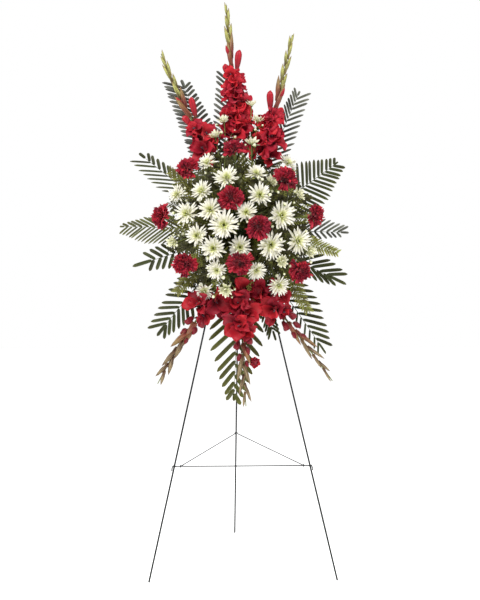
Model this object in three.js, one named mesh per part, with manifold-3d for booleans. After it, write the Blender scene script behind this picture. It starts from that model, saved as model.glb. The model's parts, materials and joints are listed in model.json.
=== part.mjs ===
// Standing flower spray on a folding wire easel. Millimetres, +Z up, the viewer stands at -Y.
import * as THREE from 'three';
import { mergeVertices } from 'three/addons/utils/BufferGeometryUtils.js';
import Module from 'manifold-3d';

const wasm = await Module();
wasm.setup();

const DEG = Math.PI / 180;
const UP = new THREE.Vector3(0, 0, 1);
const FRONT = new THREE.Vector3(0, -1, 0);
const RIGHT = new THREE.Vector3(1, 0, 0);

// Easel: wire radii, the pivot at the top, the feet and the heights of the cross wire and the hook
const LEG_RADIUS = 2.5;
const CROSS_RADIUS = 1.6;
const STAY_RADIUS = 1.4;
const GAP = 0.4;
const APEX = new THREE.Vector3(0, -65, 1160);
const FRONT_FOOT = new THREE.Vector3(264, -315, 0);
const REAR_FOOT = new THREE.Vector3(0, 315, 0);
const CROSS_HEIGHT = 314;
const HOOK_HEIGHT = 353;
const EYE_PITCH = 5.4;
const PIN_HEAD_RADIUS = 5.4;
const STAY_SPREAD = 176;
const TAIL_LENGTH = 13;
const WIRE_SIDES = 8;
const EYE_SIDES = 12;
const LOOP_SIDES = 8;

// Spray frame: leans back with the front legs, its centre is the middle of the foam
const SPRAY_CENTRE = new THREE.Vector3(0, -147, 994);
const LEAN = Math.atan((APEX.y - FRONT_FOOT.y) / APEX.z);
const FOAM = { width: 110, depth: 80, height: 230 };
const CAGE_WALL = 2;
const CAGE_FRONT = 24;
const CAGE_PLAY = 0.3;
const HOOP_WIDTH = 7;
const HOOP_HEIGHTS = [28, -40];
const TIE_RADIUS = 1;
const TIE_HEIGHT = -20;
const TIE_FORWARD = 33;
const STEM_SIDES = 5;
const HOLE_SIDES = 5;
const HOLE_PLAY = 0.4;

const finish = (colour, roughness, metalness = 0) =>
  new THREE.MeshStandardMaterial({ color: colour, roughness, metalness });

const FINISH = {
  wire: finish(0x26332c, 0.45, 0.7),
  cage: finish(0x2f5a36, 0.6),
  foam: finish(0x3d6b45, 0.95),
  palm: finish(0x3f5f33, 0.6),
  olive: finish(0x66733a, 0.6),
  fern: finish(0x7fa03a, 0.65),
  leaf: finish(0x2c4a2a, 0.6),
  spike: finish(0x8a9a4b, 0.6),
  scarlet: finish(0xb3121c, 0.5),
  crimson: finish(0x9c0f20, 0.6),
  white: finish(0xf1ecea, 0.7),
};

// Solids: closed geometry in, closed geometry out
function solid(geometry) {
  const bare = geometry.clone();
  bare.deleteAttribute('normal');
  bare.deleteAttribute('uv');
  const merged = mergeVertices(bare);
  const faces = [];
  const index = merged.index.array;
  for (let i = 0; i < index.length; i += 3) {
    const [a, b, c] = [index[i], index[i + 1], index[i + 2]];
    if (a !== b && b !== c && c !== a) faces.push(a, b, c);
  }
  return new wasm.Manifold(new wasm.Mesh({
    numProp: 3,
    vertProperties: merged.attributes.position.array,
    triVerts: new Uint32Array(faces),
  }));
}

function toGeometry(body) {
  const cut = body.getMesh();
  const geometry = new THREE.BufferGeometry();
  geometry.setAttribute('position', new THREE.BufferAttribute(new Float32Array(cut.vertProperties), 3));
  geometry.setIndex(new THREE.BufferAttribute(new Uint32Array(cut.triVerts), 1));
  const faceted = geometry.toNonIndexed();
  faceted.computeVertexNormals();
  return faceted;
}

const join = (bodies) => bodies.reduce((whole, body) => whole.add(body));

function piece(name, body, material) {
  const mesh = new THREE.Mesh(toGeometry(body), material);
  mesh.name = name;
  return mesh;
}

function block(low, high) {
  const size = high.clone().sub(low);
  const geometry = new THREE.BoxGeometry(size.x, size.y, size.z);
  geometry.translate(...low.clone().add(high).multiplyScalar(0.5));
  return solid(geometry);
}

function aim(geometry, from, axis, centre) {
  geometry.applyQuaternion(new THREE.Quaternion().setFromUnitVectors(from, axis));
  geometry.translate(...centre);
  return geometry;
}

// A straight round bar between two points
function rod(start, end, radius, sides = WIRE_SIDES) {
  const along = end.clone().sub(start);
  const bar = new THREE.CylinderGeometry(radius, radius, along.length(), sides);
  const centre = start.clone().add(end).multiplyScalar(0.5);
  return solid(aim(bar, new THREE.Vector3(0, 1, 0), along.normalize(), centre));
}

// A closed wire ring of the given inner radius
function eye(centre, axis, inner, wire, sides = EYE_SIDES) {
  const ring = new THREE.TorusGeometry(inner / Math.cos(Math.PI / sides) + wire, wire, 5, sides);
  return solid(aim(ring, UP, axis, centre));
}

// A route in space that keeps one side towards the front
class Guide {
  constructor(curve, front = FRONT) {
    this.curve = curve;
    this.front = front;
    this.length = curve.getLength();
  }

  frame(distance) {
    const share = THREE.MathUtils.clamp(distance / this.length, 0, 1);
    const along = this.curve.getTangentAt(share);
    const origin = this.curve.getPointAt(share);
    origin.addScaledVector(along, distance - share * this.length);
    const across = new THREE.Vector3().crossVectors(along, this.front).normalize();
    const facing = new THREE.Vector3().crossVectors(across, along);
    return { origin, along, across, facing };
  }
}

// Lays a shape drawn with +Y as its length and +Z as its front side along a guide
function layAlong(geometry, guide) {
  const position = geometry.attributes.position;
  for (let i = 0; i < position.count; i += 1) {
    const { origin, across, facing } = guide.frame(position.getY(i));
    origin.addScaledVector(across, position.getX(i));
    origin.addScaledVector(facing, position.getZ(i));
    position.setXYZ(i, origin.x, origin.y, origin.z);
  }
  return geometry;
}

// A bar of changing radius whose rings stand at the given distances along a guide
function tube(guide, stations, radii, sides = STEM_SIDES) {
  const steps = stations.length - 1;
  const geometry = new THREE.CylinderGeometry(1, 1, 1, sides, steps);
  const position = geometry.attributes.position;
  for (let i = 0; i < position.count; i += 1) {
    const step = Math.round((position.getY(i) + 0.5) * steps);
    const radius = radii[step];
    position.setXYZ(i, position.getX(i) * radius, stations[step], -position.getZ(i) * radius);
  }
  geometry.setIndex([...geometry.index.array].reverse());
  return solid(layAlong(geometry, guide));
}

// A turned shape about +Z whose rings are lobed: shape(ring, step) gives a radius factor and a lift
function lobed(profile, steps, shape) {
  const points = profile.map(([radius, height]) => new THREE.Vector2(radius, height));
  const geometry = new THREE.LatheGeometry(points, steps);
  const position = geometry.attributes.position;
  for (let i = 0; i < position.count; i += 1) {
    const ring = i % points.length;
    const step = Math.floor(i / points.length) % steps;
    const [factor, lift] = shape(ring, step);
    const [x, y, z] = [position.getX(i), position.getY(i), position.getZ(i)];
    position.setXYZ(i, x * factor, -z * factor, y + lift);
  }
  return geometry;
}

function faceTowards(geometry, place, facing, spin = 0) {
  geometry.rotateZ(spin);
  return solid(aim(geometry, UP, facing, place));
}

// Places in the spray are given as right, up and forward of the foam's middle
const at = (right, up, forward) => new THREE.Vector3(right, -forward, up);

// Stems: every stem stands in a plain hole of the foam
const holes = [];

function planted(entry, inward, depth, radius, ...rest) {
  const root = entry.clone().addScaledVector(inward, depth);
  const mouth = entry.clone().addScaledVector(inward, -3);
  const hole = (radius + HOLE_PLAY) / Math.cos(Math.PI / HOLE_SIDES);
  holes.push(rod(root.clone().addScaledVector(inward, 1), mouth.clone(), hole, HOLE_SIDES));
  const path = new THREE.CurvePath();
  path.add(new THREE.LineCurve3(root, mouth));
  path.add(new THREE.CubicBezierCurve3(mouth, ...rest));
  return path;
}

function facePath(entryRight, entryUp, tip, facing, radius) {
  const entry = at(entryRight, entryUp, FOAM.depth / 2);
  const reach = entry.distanceTo(tip);
  const leave = entry.clone().addScaledVector(FRONT, 3 + reach * 0.2);
  const arrive = tip.clone().addScaledVector(facing, -reach * 0.35);
  return planted(entry, new THREE.Vector3(0, 1, 0), 22, radius, leave, arrive, tip);
}

// Where the ray from the foam's middle towards a rim place leaves the foam, at a given forward depth
function rimEntry(direction, forward) {
  const across = FOAM.width / 2 / Math.abs(direction.x || 1e-6);
  const upward = FOAM.height / 2 / Math.abs(direction.z || 1e-6);
  const reach = Math.min(across, upward);
  return at(direction.x * reach, direction.z * reach, forward);
}

function rimPath(tip, entryForward, bow, radius, depth = 22) {
  const direction = new THREE.Vector3(tip.x, 0, tip.z).normalize();
  const entry = rimEntry(direction, entryForward);
  const reach = Math.hypot(tip.x - entry.x, tip.z - entry.z);
  const leave = entry.clone().addScaledVector(direction, reach * 0.3);
  const arrive = entry.clone().addScaledVector(direction, reach * 0.65);
  arrive.y = -bow;
  return planted(entry, direction.clone().negate(), depth, radius, leave, arrive, tip);
}

// Easel
function easel() {
  const legPoint = (side, height) => {
    const share = (APEX.z - height) / APEX.z;
    const x = side * THREE.MathUtils.lerp(EYE_PITCH, FRONT_FOOT.x, share);
    return new THREE.Vector3(x, APEX.y + (FRONT_FOOT.y - APEX.y) * share, height);
  };
  const rearPoint = (height) => APEX.clone().lerp(REAR_FOOT, (APEX.z - height) / APEX.z);
  const eyeInner = LEG_RADIUS + 1.5;
  const ringRadius = eyeInner + LEG_RADIUS;

  const leg = (name, foot, eyeX) => {
    const top = new THREE.Vector3(eyeX, APEX.y, APEX.z);
    const along = foot.clone().sub(top).normalize();
    const start = top.clone().addScaledVector(along, ringRadius);
    const end = foot.clone().addScaledVector(along, 8);
    const ring = eye(top, RIGHT, eyeInner, LEG_RADIUS);
    const floor = block(foot.clone().add(at(-20, -20, 20)), foot.clone().add(at(20, 0, -20)));
    return piece(name, rod(start, end, LEG_RADIUS).add(ring).subtract(floor), FINISH.wire);
  };
  const leftFoot = FRONT_FOOT.clone().setX(-FRONT_FOOT.x);
  const pinRadius = eyeInner - GAP;
  const pinReach = EYE_PITCH + LEG_RADIUS + GAP;
  const pinProfile = [
    [0, -pinReach - 2], [PIN_HEAD_RADIUS, -pinReach - 2], [PIN_HEAD_RADIUS, -pinReach],
    [pinRadius, -pinReach], [pinRadius, pinReach],
    [PIN_HEAD_RADIUS, pinReach], [PIN_HEAD_RADIUS, pinReach + 2], [0, pinReach + 2],
  ];
  const pin = faceTowards(lobed(pinProfile, EYE_SIDES, () => [1, 0]), APEX, RIGHT);

  const crossParts = [];
  const loopInner = LEG_RADIUS + GAP;
  const legLine = (side) => legPoint(side, 0).sub(legPoint(side, APEX.z)).normalize();
  const loops = [-1, 1].map((side) => legPoint(side, CROSS_HEIGHT));
  [-1, 1].forEach((side, i) => {
    crossParts.push(eye(loops[i], legLine(side), loopInner, CROSS_RADIUS, LOOP_SIDES));
    const tailTop = loops[i].clone().add(at(side * (loopInner + CROSS_RADIUS), 0, 0));
    const tailEnd = tailTop.clone().add(at(side * 3, -TAIL_LENGTH, 2));
    crossParts.push(rod(tailTop, tailEnd, CROSS_RADIUS));
  });
  const inset = loopInner + CROSS_RADIUS;
  const [leftEnd, rightEnd] = [1, -1].map((side, i) => loops[i].clone().add(at(side * inset, 0, 0)));
  crossParts.push(rod(leftEnd, rightEnd, CROSS_RADIUS));

  const hook = rearPoint(HOOK_HEIGHT);
  const crossMid = legPoint(0, CROSS_HEIGHT);
  const stayLine = hook.clone().sub(crossMid).normalize();
  const hookRadius = LEG_RADIUS + GAP + STAY_RADIUS;
  const hookReach = 12;
  const stay = (side) => {
    const foot = crossMid.clone().setX(side * STAY_SPREAD);
    const end = hook.clone().addScaledVector(stayLine, -hookReach - 2 * GAP).setX(side * hookRadius);
    const stayInner = CROSS_RADIUS + GAP;
    const start = foot.clone().lerp(end, (stayInner + STAY_RADIUS) / foot.distanceTo(end));
    return rod(start, end, STAY_RADIUS).add(eye(foot, RIGHT, stayInner, STAY_RADIUS, LOOP_SIDES));
  };
  const bendSteps = 6;
  const bend = [];
  for (let i = 0; i <= bendSteps; i += 1) {
    const turn = Math.PI * (i / bendSteps);
    const point = hook.clone().addScaledVector(stayLine, Math.sin(turn) * hookRadius);
    bend.push(point.setX(-Math.cos(turn) * hookRadius));
  }
  const before = (side) => hook.clone().addScaledVector(stayLine, -hookReach).setX(side * hookRadius);
  const hookCurve = new THREE.CatmullRomCurve3([before(-1), ...bend, before(1)], false, 'centripetal');
  const hookGuide = new Guide(hookCurve, UP);
  const hookStations = Array.from({ length: 9 }, (_, i) => (hookGuide.length * i) / 8);
  const hookBody = tube(hookGuide, hookStations, hookStations.map(() => STAY_RADIUS), 6);

  return [
    leg('easel_left_leg', leftFoot, -EYE_PITCH),
    leg('easel_right_leg', FRONT_FOOT, EYE_PITCH),
    leg('easel_rear_leg', REAR_FOOT, 0),
    piece('apex_pin', pin, FINISH.wire),
    piece('cross_wire', join(crossParts), FINISH.wire),
    piece('stay_left', stay(-1), FINISH.wire),
    piece('stay_right', stay(1), FINISH.wire),
    piece('stay_hook', hookBody, FINISH.wire),
  ];
}

// Holder: a tray with two hoops, the foam in it and the clamp that holds both on the legs
function cage() {
  const around = (play) => {
    const [x, y, z] = [FOAM.width, FOAM.depth, FOAM.height].map((side) => side / 2 + play);
    return { x, y, z };
  };
  const half = around(CAGE_PLAY);
  const outer = around(CAGE_PLAY + CAGE_WALL);
  const box = (x, back, front, low, high) =>
    block(new THREE.Vector3(-x, -front, low), new THREE.Vector3(x, back, high));
  const tray = box(outer.x, outer.y, -CAGE_FRONT, -outer.z, outer.z)
    .subtract(box(half.x, half.y, -CAGE_FRONT + 1, -half.z, half.z));
  const hoops = HOOP_HEIGHTS.map((height) => {
    const [low, high] = [height - HOOP_WIDTH / 2, height + HOOP_WIDTH / 2];
    return box(outer.x, CAGE_FRONT + CAGE_WALL, outer.y, low, high)
      .subtract(box(half.x, CAGE_FRONT + CAGE_WALL + 1, half.y, low - 1, high + 1));
  });
  const tieHole = rod(at(-outer.x - 2, TIE_HEIGHT, -TIE_FORWARD), at(outer.x + 2, TIE_HEIGHT, -TIE_FORWARD),
    TIE_RADIUS + GAP * 1.5, HOLE_SIDES);
  return piece('foam_cage', join([tray, ...hoops]).subtract(tieHole), FINISH.cage);
}

function cageTie() {
  const back = SPRAY_LEG_PLANE + LEG_RADIUS + GAP + TIE_RADIUS;
  const end = FOAM.width / 2 + CAGE_PLAY + 0.3;
  const side = FOAM.width / 2 + 8;
  const corner = 3;
  const half = [
    [end, TIE_FORWARD], [side - corner, TIE_FORWARD], [side, TIE_FORWARD + corner],
    [side, back - corner], [side - corner, back],
  ];
  const points = [...half.map(([x, y]) => at(-x, TIE_HEIGHT, -y)),
    ...half.reverse().map(([x, y]) => at(x, TIE_HEIGHT, -y))];
  const path = new THREE.CurvePath();
  for (let i = 1; i < points.length; i += 1) path.add(new THREE.LineCurve3(points[i - 1], points[i]));
  const guide = new Guide(path, UP);
  const stations = [0, ...path.getCurveLengths()];
  return piece('cage_tie', tube(guide, stations, stations.map(() => TIE_RADIUS), 6), FINISH.wire);
}

// How far the plane of the front legs lies behind the foam's middle
const APEX_BEHIND = APEX.clone().sub(SPRAY_CENTRE);
const SPRAY_LEG_PLANE = APEX_BEHIND.y * Math.cos(LEAN) - APEX_BEHIND.z * Math.sin(LEAN);

function foam() {
  const half = at(FOAM.width / 2, FOAM.height / 2, -FOAM.depth / 2);
  const raw = block(half.clone().negate(), half);
  return piece('foam_block', raw.subtract(join(holes)), FINISH.foam);
}

// Fronds: one thin arched blade cut to the rib into leaflets, on a round stalk, with one leaflet past the
// rib's end
const RIB_HALF = 1.4;
const APEX_HALF = 3.6;
const APEX_WIDEST = 0.4;

function blade(guide, spec) {
  const { first, apex, pitch, width, thickness = 0.9, arch = 4, reach, lean, taper = 0 } = spec;
  const { lerp } = THREE.MathUtils;
  const ribEnd = guide.length - apex;
  const flat = [];
  const faces = [];
  const [rightEdge, leftEdge] = [[], []];
  const point = (x, y) => flat.push([x, y]) - 1;
  const across = (y, half = RIB_HALF) => [point(-half, y), point(half, y)];
  const strip = ([left, right], [nextLeft, nextRight]) => {
    faces.push([left, right, nextRight], [left, nextRight, nextLeft]);
  };
  let last = across(first - 8);
  leftEdge.push(last[0]);
  rightEdge.push(last[1]);
  for (let s = first; s < ribEnd - width; s += pitch) {
    const share = Math.max(0, (s - first) / (ribEnd - first) - taper) / (1 - taper);
    const tipOf = (side, which) => {
      const length = lerp(...reach[which], share);
      const angle = lerp(...lean[which], share) * DEG;
      return point(side * (RIB_HALF + length * Math.sin(angle)), s + length * Math.cos(angle));
    };
    const [start, end] = [across(s), across(s + Math.min(width, pitch * 0.9))];
    const [rightTip, leftTip] = [tipOf(1, 0), tipOf(-1, 1)];
    strip(last, start);
    strip(start, end);
    faces.push([start[1], rightTip, end[1]], [start[0], end[0], leftTip]);
    rightEdge.push(start[1], rightTip, end[1]);
    leftEdge.push(start[0], leftTip, end[0]);
    last = end;
  }
  const widest = across(ribEnd + apex * APEX_WIDEST, APEX_HALF);
  const top = point(0, guide.length);
  strip(last, widest);
  faces.push([...widest, top]);
  leftEdge.push(widest[0]);
  rightEdge.push(widest[1]);

  const count = flat.length;
  const rim = [...rightEdge, top, ...leftEdge.reverse()];
  const index = faces.flatMap(([a, b, c]) => [a, b, c, count + c, count + b, count + a]);
  rim.forEach((a, i) => {
    const b = rim[(i + 1) % rim.length];
    index.push(count + a, count + b, b, count + a, b, a);
  });
  const half = Math.max(...reach.flat());
  const positions = [thickness / 2, -thickness / 2].flatMap((side) =>
    flat.flatMap(([x, y]) => [x, y, side - arch * (x / half) ** 2]));
  const geometry = new THREE.BufferGeometry();
  geometry.setAttribute('position', new THREE.BufferAttribute(new Float32Array(positions), 3));
  geometry.setIndex(index);
  return solid(layAlong(geometry, guide));
}

function frond(name, guide, spec, material) {
  const { stalk, first } = spec;
  const stations = [0, 26, 26 + (first - 26) / 2, first];
  const radii = [stalk, stalk, stalk, stalk * 0.75];
  return piece(name, tube(guide, stations, radii).add(blade(guide, spec)), material);
}

// Palm fronds: tip place, layer (0 front, 1 behind) and the length of the leaflet past the rib's end, then
// the leaflets' reach and lean on its right and left, up to PALM_TAPER of the way and at the end
const PALMS = [
  { tip: [-177, 477], layer: 0, apex: 28, reach: [[48, 28], [70, 72]], lean: [[70, 60], [58, 50]] },
  { tip: [-43, 524], layer: 1, apex: 22, reach: [[62, 28], [62, 28]], lean: [[44, 40], [44, 40]] },
  { tip: [185, 444], layer: 0, apex: 18, reach: [[64, 50], [66, 34]], lean: [[46, 42], [38, 32]] },
  { tip: [-303, 243], layer: 1, apex: 24, reach: [[50, 24], [86, 56]], lean: [[38, 40], [33, 36]] },
  { tip: [297, 219], layer: 1, apex: 14, reach: [[88, 34], [88, 22]], lean: [[61, 46], [55, 50]] },
  { tip: [-357, 12], layer: 0, apex: 14, reach: [[66, 16], [78, 28]], lean: [[28, 24], [40, 40]] },
  { tip: [-319, -107], layer: 1, apex: 60, reach: [[52, 42], [48, 34]], lean: [[51, 48], [56, 52]] },
  { tip: [322, -5], layer: 0, apex: 26, reach: [[34, 18], [62, 34]], lean: [[48, 44], [26, 22]] },
  { tip: [311, -161], layer: 1, apex: 60, reach: [[66, 48], [80, 62]], lean: [[26, 18], [42, 28]] },
  { tip: [-245, -316], layer: 0, apex: 40, reach: [[66, 56], [76, 42]], lean: [[62, 38], [48, 30]] },
  { tip: [244, -369], layer: 0, apex: 38, reach: [[34, 34], [92, 48]], lean: [[45, 34], [52, 32]] },
  { tip: [-24, -504], layer: 1, apex: 15, reach: [[106, 42], [106, 42]], lean: [[46, 38], [46, 38]] },
  { tip: [99, -330], layer: 0, apex: 30, reach: [[42, 40], [30, 30]], lean: [[36, 30], [45, 35]] },
];
const LAYER_ENTRY = [-7, -18];
const LAYER_BOW = [8, -26];
const RIM_LEAFLETS = 140;
const PALM_PITCH = 30;
const PALM_TAPER = 0.4;

function palmFrond(row, index) {
  const tip = at(row.tip[0], row.tip[1], -8 - 6 * row.layer);
  const path = rimPath(tip, LAYER_ENTRY[row.layer], LAYER_BOW[row.layer], 2);
  const guide = new Guide(path);
  const entry = guide.frame(25).origin;
  const first = 25 + Math.max(24, RIM_LEAFLETS - Math.hypot(entry.x, entry.z));
  const spec = { first, pitch: PALM_PITCH, width: 12, stalk: 2, taper: PALM_TAPER, ...row };
  const olive = index === 5 || index === 11;
  const name = `palm_frond_${String(index + 1).padStart(2, '0')}`;
  return frond(name, guide, spec, olive ? FINISH.olive : FINISH.palm);
}

// Fern fronds: side of the foam they stand in, height of the hole, tip and the first leaflets' reach
const FERNS = [
  { side: 1, up: -14, tip: [285, -90, 42], reach: 40 },
  { side: 1, up: -64, tip: [196, -262, 48], reach: 36 },
  { side: -1, up: -66, tip: [-196, -208, 52], reach: 36 },
  { side: -1, up: 60, tip: [-214, 166, 60], reach: 34 },
];

function fernFrond(row, index) {
  const entry = at((row.side * FOAM.width) / 2, row.up, 12);
  const tip = at(...row.tip);
  const outward = RIGHT.clone().multiplyScalar(row.side);
  const reach = entry.distanceTo(tip);
  const leave = entry.clone().addScaledVector(outward, reach * 0.3);
  const arrive = entry.clone().lerp(tip, 0.6).add(at(0, 0, 12));
  const path = planted(entry, outward.clone().negate(), 20, 1.5, leave, arrive, tip);
  const guide = new Guide(path);
  const first = 25 + reach * 0.38;
  const spec = {
    first, apex: 12, pitch: 21, width: 14, stalk: 1.5, arch: 3,
    reach: [[row.reach, 5], [row.reach, 5]], lean: [[58, 40], [58, 40]],
  };
  return frond(`fern_${String(index + 1).padStart(2, '0')}`, guide, spec, FINISH.fern);
}

// Leafy stems among the heads
const LEAF_STEMS = [
  { entry: [2, 39], tip: [-2, 76, 128], reach: 30 },
  { entry: [-34, 38], tip: [-132, 34, 128], reach: 30 },
  { entry: [34, 16], tip: [88, 56, 128], reach: 30 },
];

function leafStem(row, index) {
  const tip = at(...row.tip);
  const facing = tip.clone().sub(at(0, 0, -150)).normalize();
  const guide = new Guide(facePath(...row.entry, tip, facing, 1.5), RIGHT);
  const spec = {
    first: 25 + (guide.length - 25) * 0.55, apex: 12, pitch: 18, width: 14, stalk: 1.5, arch: 3,
    reach: [[row.reach, 20], [row.reach, 20]], lean: [[50, 35], [50, 35]],
  };
  return frond(`leaf_stem_${String(index + 1).padStart(2, '0')}`, guide, spec, FINISH.leaf);
}

// Gladioli: hole in the top or bottom face, a place on the way, tip, and the stretch of open florets
const GLADIOLI = [
  { x: -35, face: 1, via: [-122, 226, 62], tip: [-238, 542, 40], open: [170, 238], turn: 0, sway: 1 },
  { x: 0, face: 1, via: [-10, 300, 52], tip: [-39, 704, 40], open: [196, 366], turn: 0, sway: 0.8 },
  { x: 35, face: 1, via: [90, 256, 54], tip: [161, 608, 40], open: [142, 244], turn: 1, sway: 0.9 },
  { x: -35, face: -1, via: [-130, -240, 62], tip: [-242, -464, 40], open: [153, 187], turn: 0, sway: 1 },
  { x: 0, face: -1, via: [-10, -250, 78], tip: [8, -530, 44], open: [120, 222], turn: 0, sway: 0.5 },
  { x: 35, face: -1, via: [100, -232, 58], tip: [256, -457, 40], open: [116, 184], turn: 1, sway: 0.8 },
];
const SPIKE_RADIUS = 3.6;
const FLORET_PITCH = 34;
const FLORET_REACH = 43;
const TOP_SHRINK = 0.28;
const TOP_CALM = 0.5;
const SLEEVE_BEFORE = 16;
const SLEEVE_AFTER = 52;
const RED_BUDS_AFTER = [28, 46];
const GREEN_BUDS_AFTER = 66;

function gladiolusGuide(row) {
  const entry = at(row.x, (row.face * FOAM.height) / 2, 2);
  const [via, tip] = [at(...row.via), at(...row.tip)];
  const outward = at(0, row.face, 0);
  const leave = entry.clone().addScaledVector(outward, 50);
  const arrive = via.clone().lerp(tip, 0.15);
  const path = planted(entry, outward.clone().negate(), 40, SPIKE_RADIUS, leave, arrive, tip);
  return new Guide(path);
}

function bud(base, direction, length, radius) {
  const geometry = new THREE.SphereGeometry(1, 3, 2);
  geometry.scale(radius, length / 2, radius * 0.9);
  geometry.translate(0, length / 2, 0);
  return solid(aim(geometry, new THREE.Vector3(0, 1, 0), direction, base));
}

const FLORET_PROFILE = [[0, -46], [8, -18], [36, 2], [0, -17]];

function floret(place, facing, spin, size) {
  const geometry = lobed(FLORET_PROFILE, 12, (ring, step) => {
    const notch = step % 2;
    const tier = step % 4 === 0 ? 1 : 0.94;
    return ring === 2 ? [notch ? 0.72 : tier, notch ? -3 : 2] : [1, 0];
  });
  geometry.scale(size, size, size);
  return faceTowards(geometry, place, facing, spin);
}

function gladiolus(row, index) {
  const guide = gladiolusGuide(row);
  const number = String(index + 1).padStart(2, '0');
  const [openStart, openEnd] = row.open;
  const length = guide.length;
  const open = [openStart - SLEEVE_BEFORE, (openStart + openEnd) / 2, openEnd + SLEEVE_AFTER];
  const third = (length - 4 - open[2]) / 3;
  const stations = [0, 43, 90, ...open, open[2] + third, open[2] + 2 * third, length - 4];
  const { lerp } = THREE.MathUtils;
  const taper = (s) => lerp(SPIKE_RADIUS, 1.3, Math.max(0, (s - openStart) / (length - openStart)));
  const radii = stations.map(taper);
  const spike = [tube(guide, stations, radii)];
  const budStart = openEnd + GREEN_BUDS_AFTER;
  let side = row.turn ? 1 : -1;
  let s = budStart;
  while (s < length - 10) {
    const { origin, along, across, facing } = guide.frame(s - 2);
    const share = (s - budStart) / (length - budStart);
    const direction = along.clone().addScaledVector(across, 0.2 * side).addScaledVector(facing, 0.14);
    spike.push(bud(origin, direction.normalize(), lerp(56, 24, share), lerp(8, 4, share)));
    side = -side;
    s += lerp(30, 20, share);
  }
  const sleeveStations = stations.slice(3, 6);
  const sleeveRadii = radii.slice(3, 6).map((radius) => radius + 2.6);
  const red = [tube(guide, sleeveStations, sleeveRadii)];
  let turn = row.turn;
  for (let place = openStart; place <= openEnd; place += FLORET_PITCH) {
    const { origin, along, across, facing } = guide.frame(place);
    const rise = row.face > 0 ? (place - openStart) / (openEnd - openStart) : 0;
    const sway = row.sway * (turn % 2 ? 1 : -1) * (0.62 + 0.16 * (turn % 3)) * (1 - TOP_CALM * rise);
    const direction = facing.clone().addScaledVector(across, sway).addScaledVector(along, 0.6).normalize();
    const size = (0.98 - 0.04 * (turn % 3)) * (1 - TOP_SHRINK * rise);
    const centre = origin.clone().addScaledVector(direction, FLORET_REACH * size);
    red.push(floret(centre, direction, turn * 0.5, size));
    turn += 1;
  }
  RED_BUDS_AFTER.forEach((beyond, i) => {
    const { origin, along, across, facing } = guide.frame(openEnd + beyond);
    const lean = (i + turn) % 2 ? 1 : -1;
    const direction = along.clone().addScaledVector(across, 0.36 * lean).addScaledVector(facing, 0.3);
    red.push(bud(origin, direction.normalize(), 54 - 8 * i, 9.5 - i));
  });
  const sheath = tube(guide, stations, radii.map((radius) => radius + GAP));
  return [
    piece(`gladiolus_${number}_spike`, join(spike), FINISH.spike),
    piece(`gladiolus_${number}_florets`, join(red).subtract(sheath), FINISH.scarlet),
  ];
}

// Carnations: head place right, up, forward, then how far the head turns away sideways
const CARNATIONS = [
  { place: [-22, 198, 122], entry: [-6, 84] },
  { place: [-152, 144, 112], entry: [-43, 60] },
  { place: [118, 108, 140], entry: [33, 45] },
  { place: [-34, 37, 184], entry: [-9, 15] },
  { place: [-222, 14, 92], entry: [-45, 8], sideways: 0.9 },
  { place: [196, 10, 116], entry: [45, 4], sideways: 0.8 },
  { place: [38, -44, 190], entry: [11, -19] },
  { place: [-160, -128, 104], entry: [-45, -53] },
  { place: [-9, -138, 158], entry: [-2, -58] },
  { place: [158, -144, 98], entry: [44, -60] },
];
const CARNATION_STEPS = 15;
const CARNATION_PROFILE = [[0, -2], [31, 9], [17, 13], [28, 21], [14, 23], [20, 32], [0, 26]];

function carnation(row, index) {
  const place = at(...row.place);
  const facing = place.clone().sub(at(0, 0, -150)).normalize();
  if (row.sideways) facing.add(at(Math.sign(place.x) * row.sideways, 0, 0)).normalize();
  const head = lobed(CARNATION_PROFILE, CARNATION_STEPS, (ring, step) => {
    const wave = (step + ring) % 3;
    if (ring % 2 === 0) return [1, 0];
    return [[1, 0.95, 0.74][wave], [1.6, -1.6, -2.4][wave]];
  });
  const guide = new Guide(facePath(...row.entry, place.clone().addScaledVector(facing, 3), facing, 1.8), UP);
  const end = guide.length;
  const stations = [0, 25, 25 + (end - 50) * 0.5, end - 26, end];
  const stem = tube(guide, stations, [1.8, 1.8, 1.8, 2.4, 8.5]);
  const body = join([stem, faceTowards(head, place, facing, index)]);
  return piece(`carnation_${String(index + 1).padStart(2, '0')}`, body, FINISH.crimson);
}

// Chrysanthemum sprays: hole, fork and heads as [right, up, forward, radius]; small ones are half open
const MUM_SPRAYS = [
  {
    entry: [-25, 74], fork: [-52, 104, 82],
    heads: [[-100, 162, 132, 25], [-46, 107, 158, 33], [-116, 72, 146, 28],
      [-76, 262, 74, 15], [-50, 309, 76, 14]],
  },
  {
    entry: [18, 68], fork: [38, 100, 84],
    heads: [[37, 121, 156, 26], [132, 169, 112, 25], [82, 100, 148, 14],
      [30, 232, 98, 15], [50, 313, 72, 14], [32, 360, 76, 13]],
  },
  {
    entry: [-45, -17], fork: [-88, -8, 74],
    heads: [[-186, 72, 112, 25], [-158, 8, 138, 31], [-130, -58, 148, 28], [-195, -66, 108, 14]],
  },
  {
    entry: [-24, -8], fork: [-46, -18, 92],
    heads: [[-92, 12, 160, 32], [-55, -38, 184, 36], [-84, -96, 152, 32]],
  },
  {
    entry: [18, 8], fork: [36, 18, 90],
    heads: [[46, 52, 174, 31], [7, -1, 182, 27], [106, -6, 168, 37], [158, 66, 132, 14]],
  },
  {
    entry: [38, -26], fork: [70, -68, 74],
    heads: [[75, -88, 162, 36], [154, -69, 134, 33], [36, -153, 130, 25], [101, -188, 98, 27],
      [106, -130, 140, 14], [189, -94, 108, 14]],
  },
  {
    entry: [-20, -78], fork: [-38, -110, 80],
    heads: [[-10, -92, 150, 29], [-74, -155, 138, 26], [-108, -201, 77, 24], [-50, -203, 110, 15]],
  },
];
const MUM_PETALS = 12;
const BUD_PETALS = 8;
const SMALL_HEAD = 20;
const BRANCH_RADIUS = 1.4;
const BRANCH_SIDES = 4;

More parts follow.
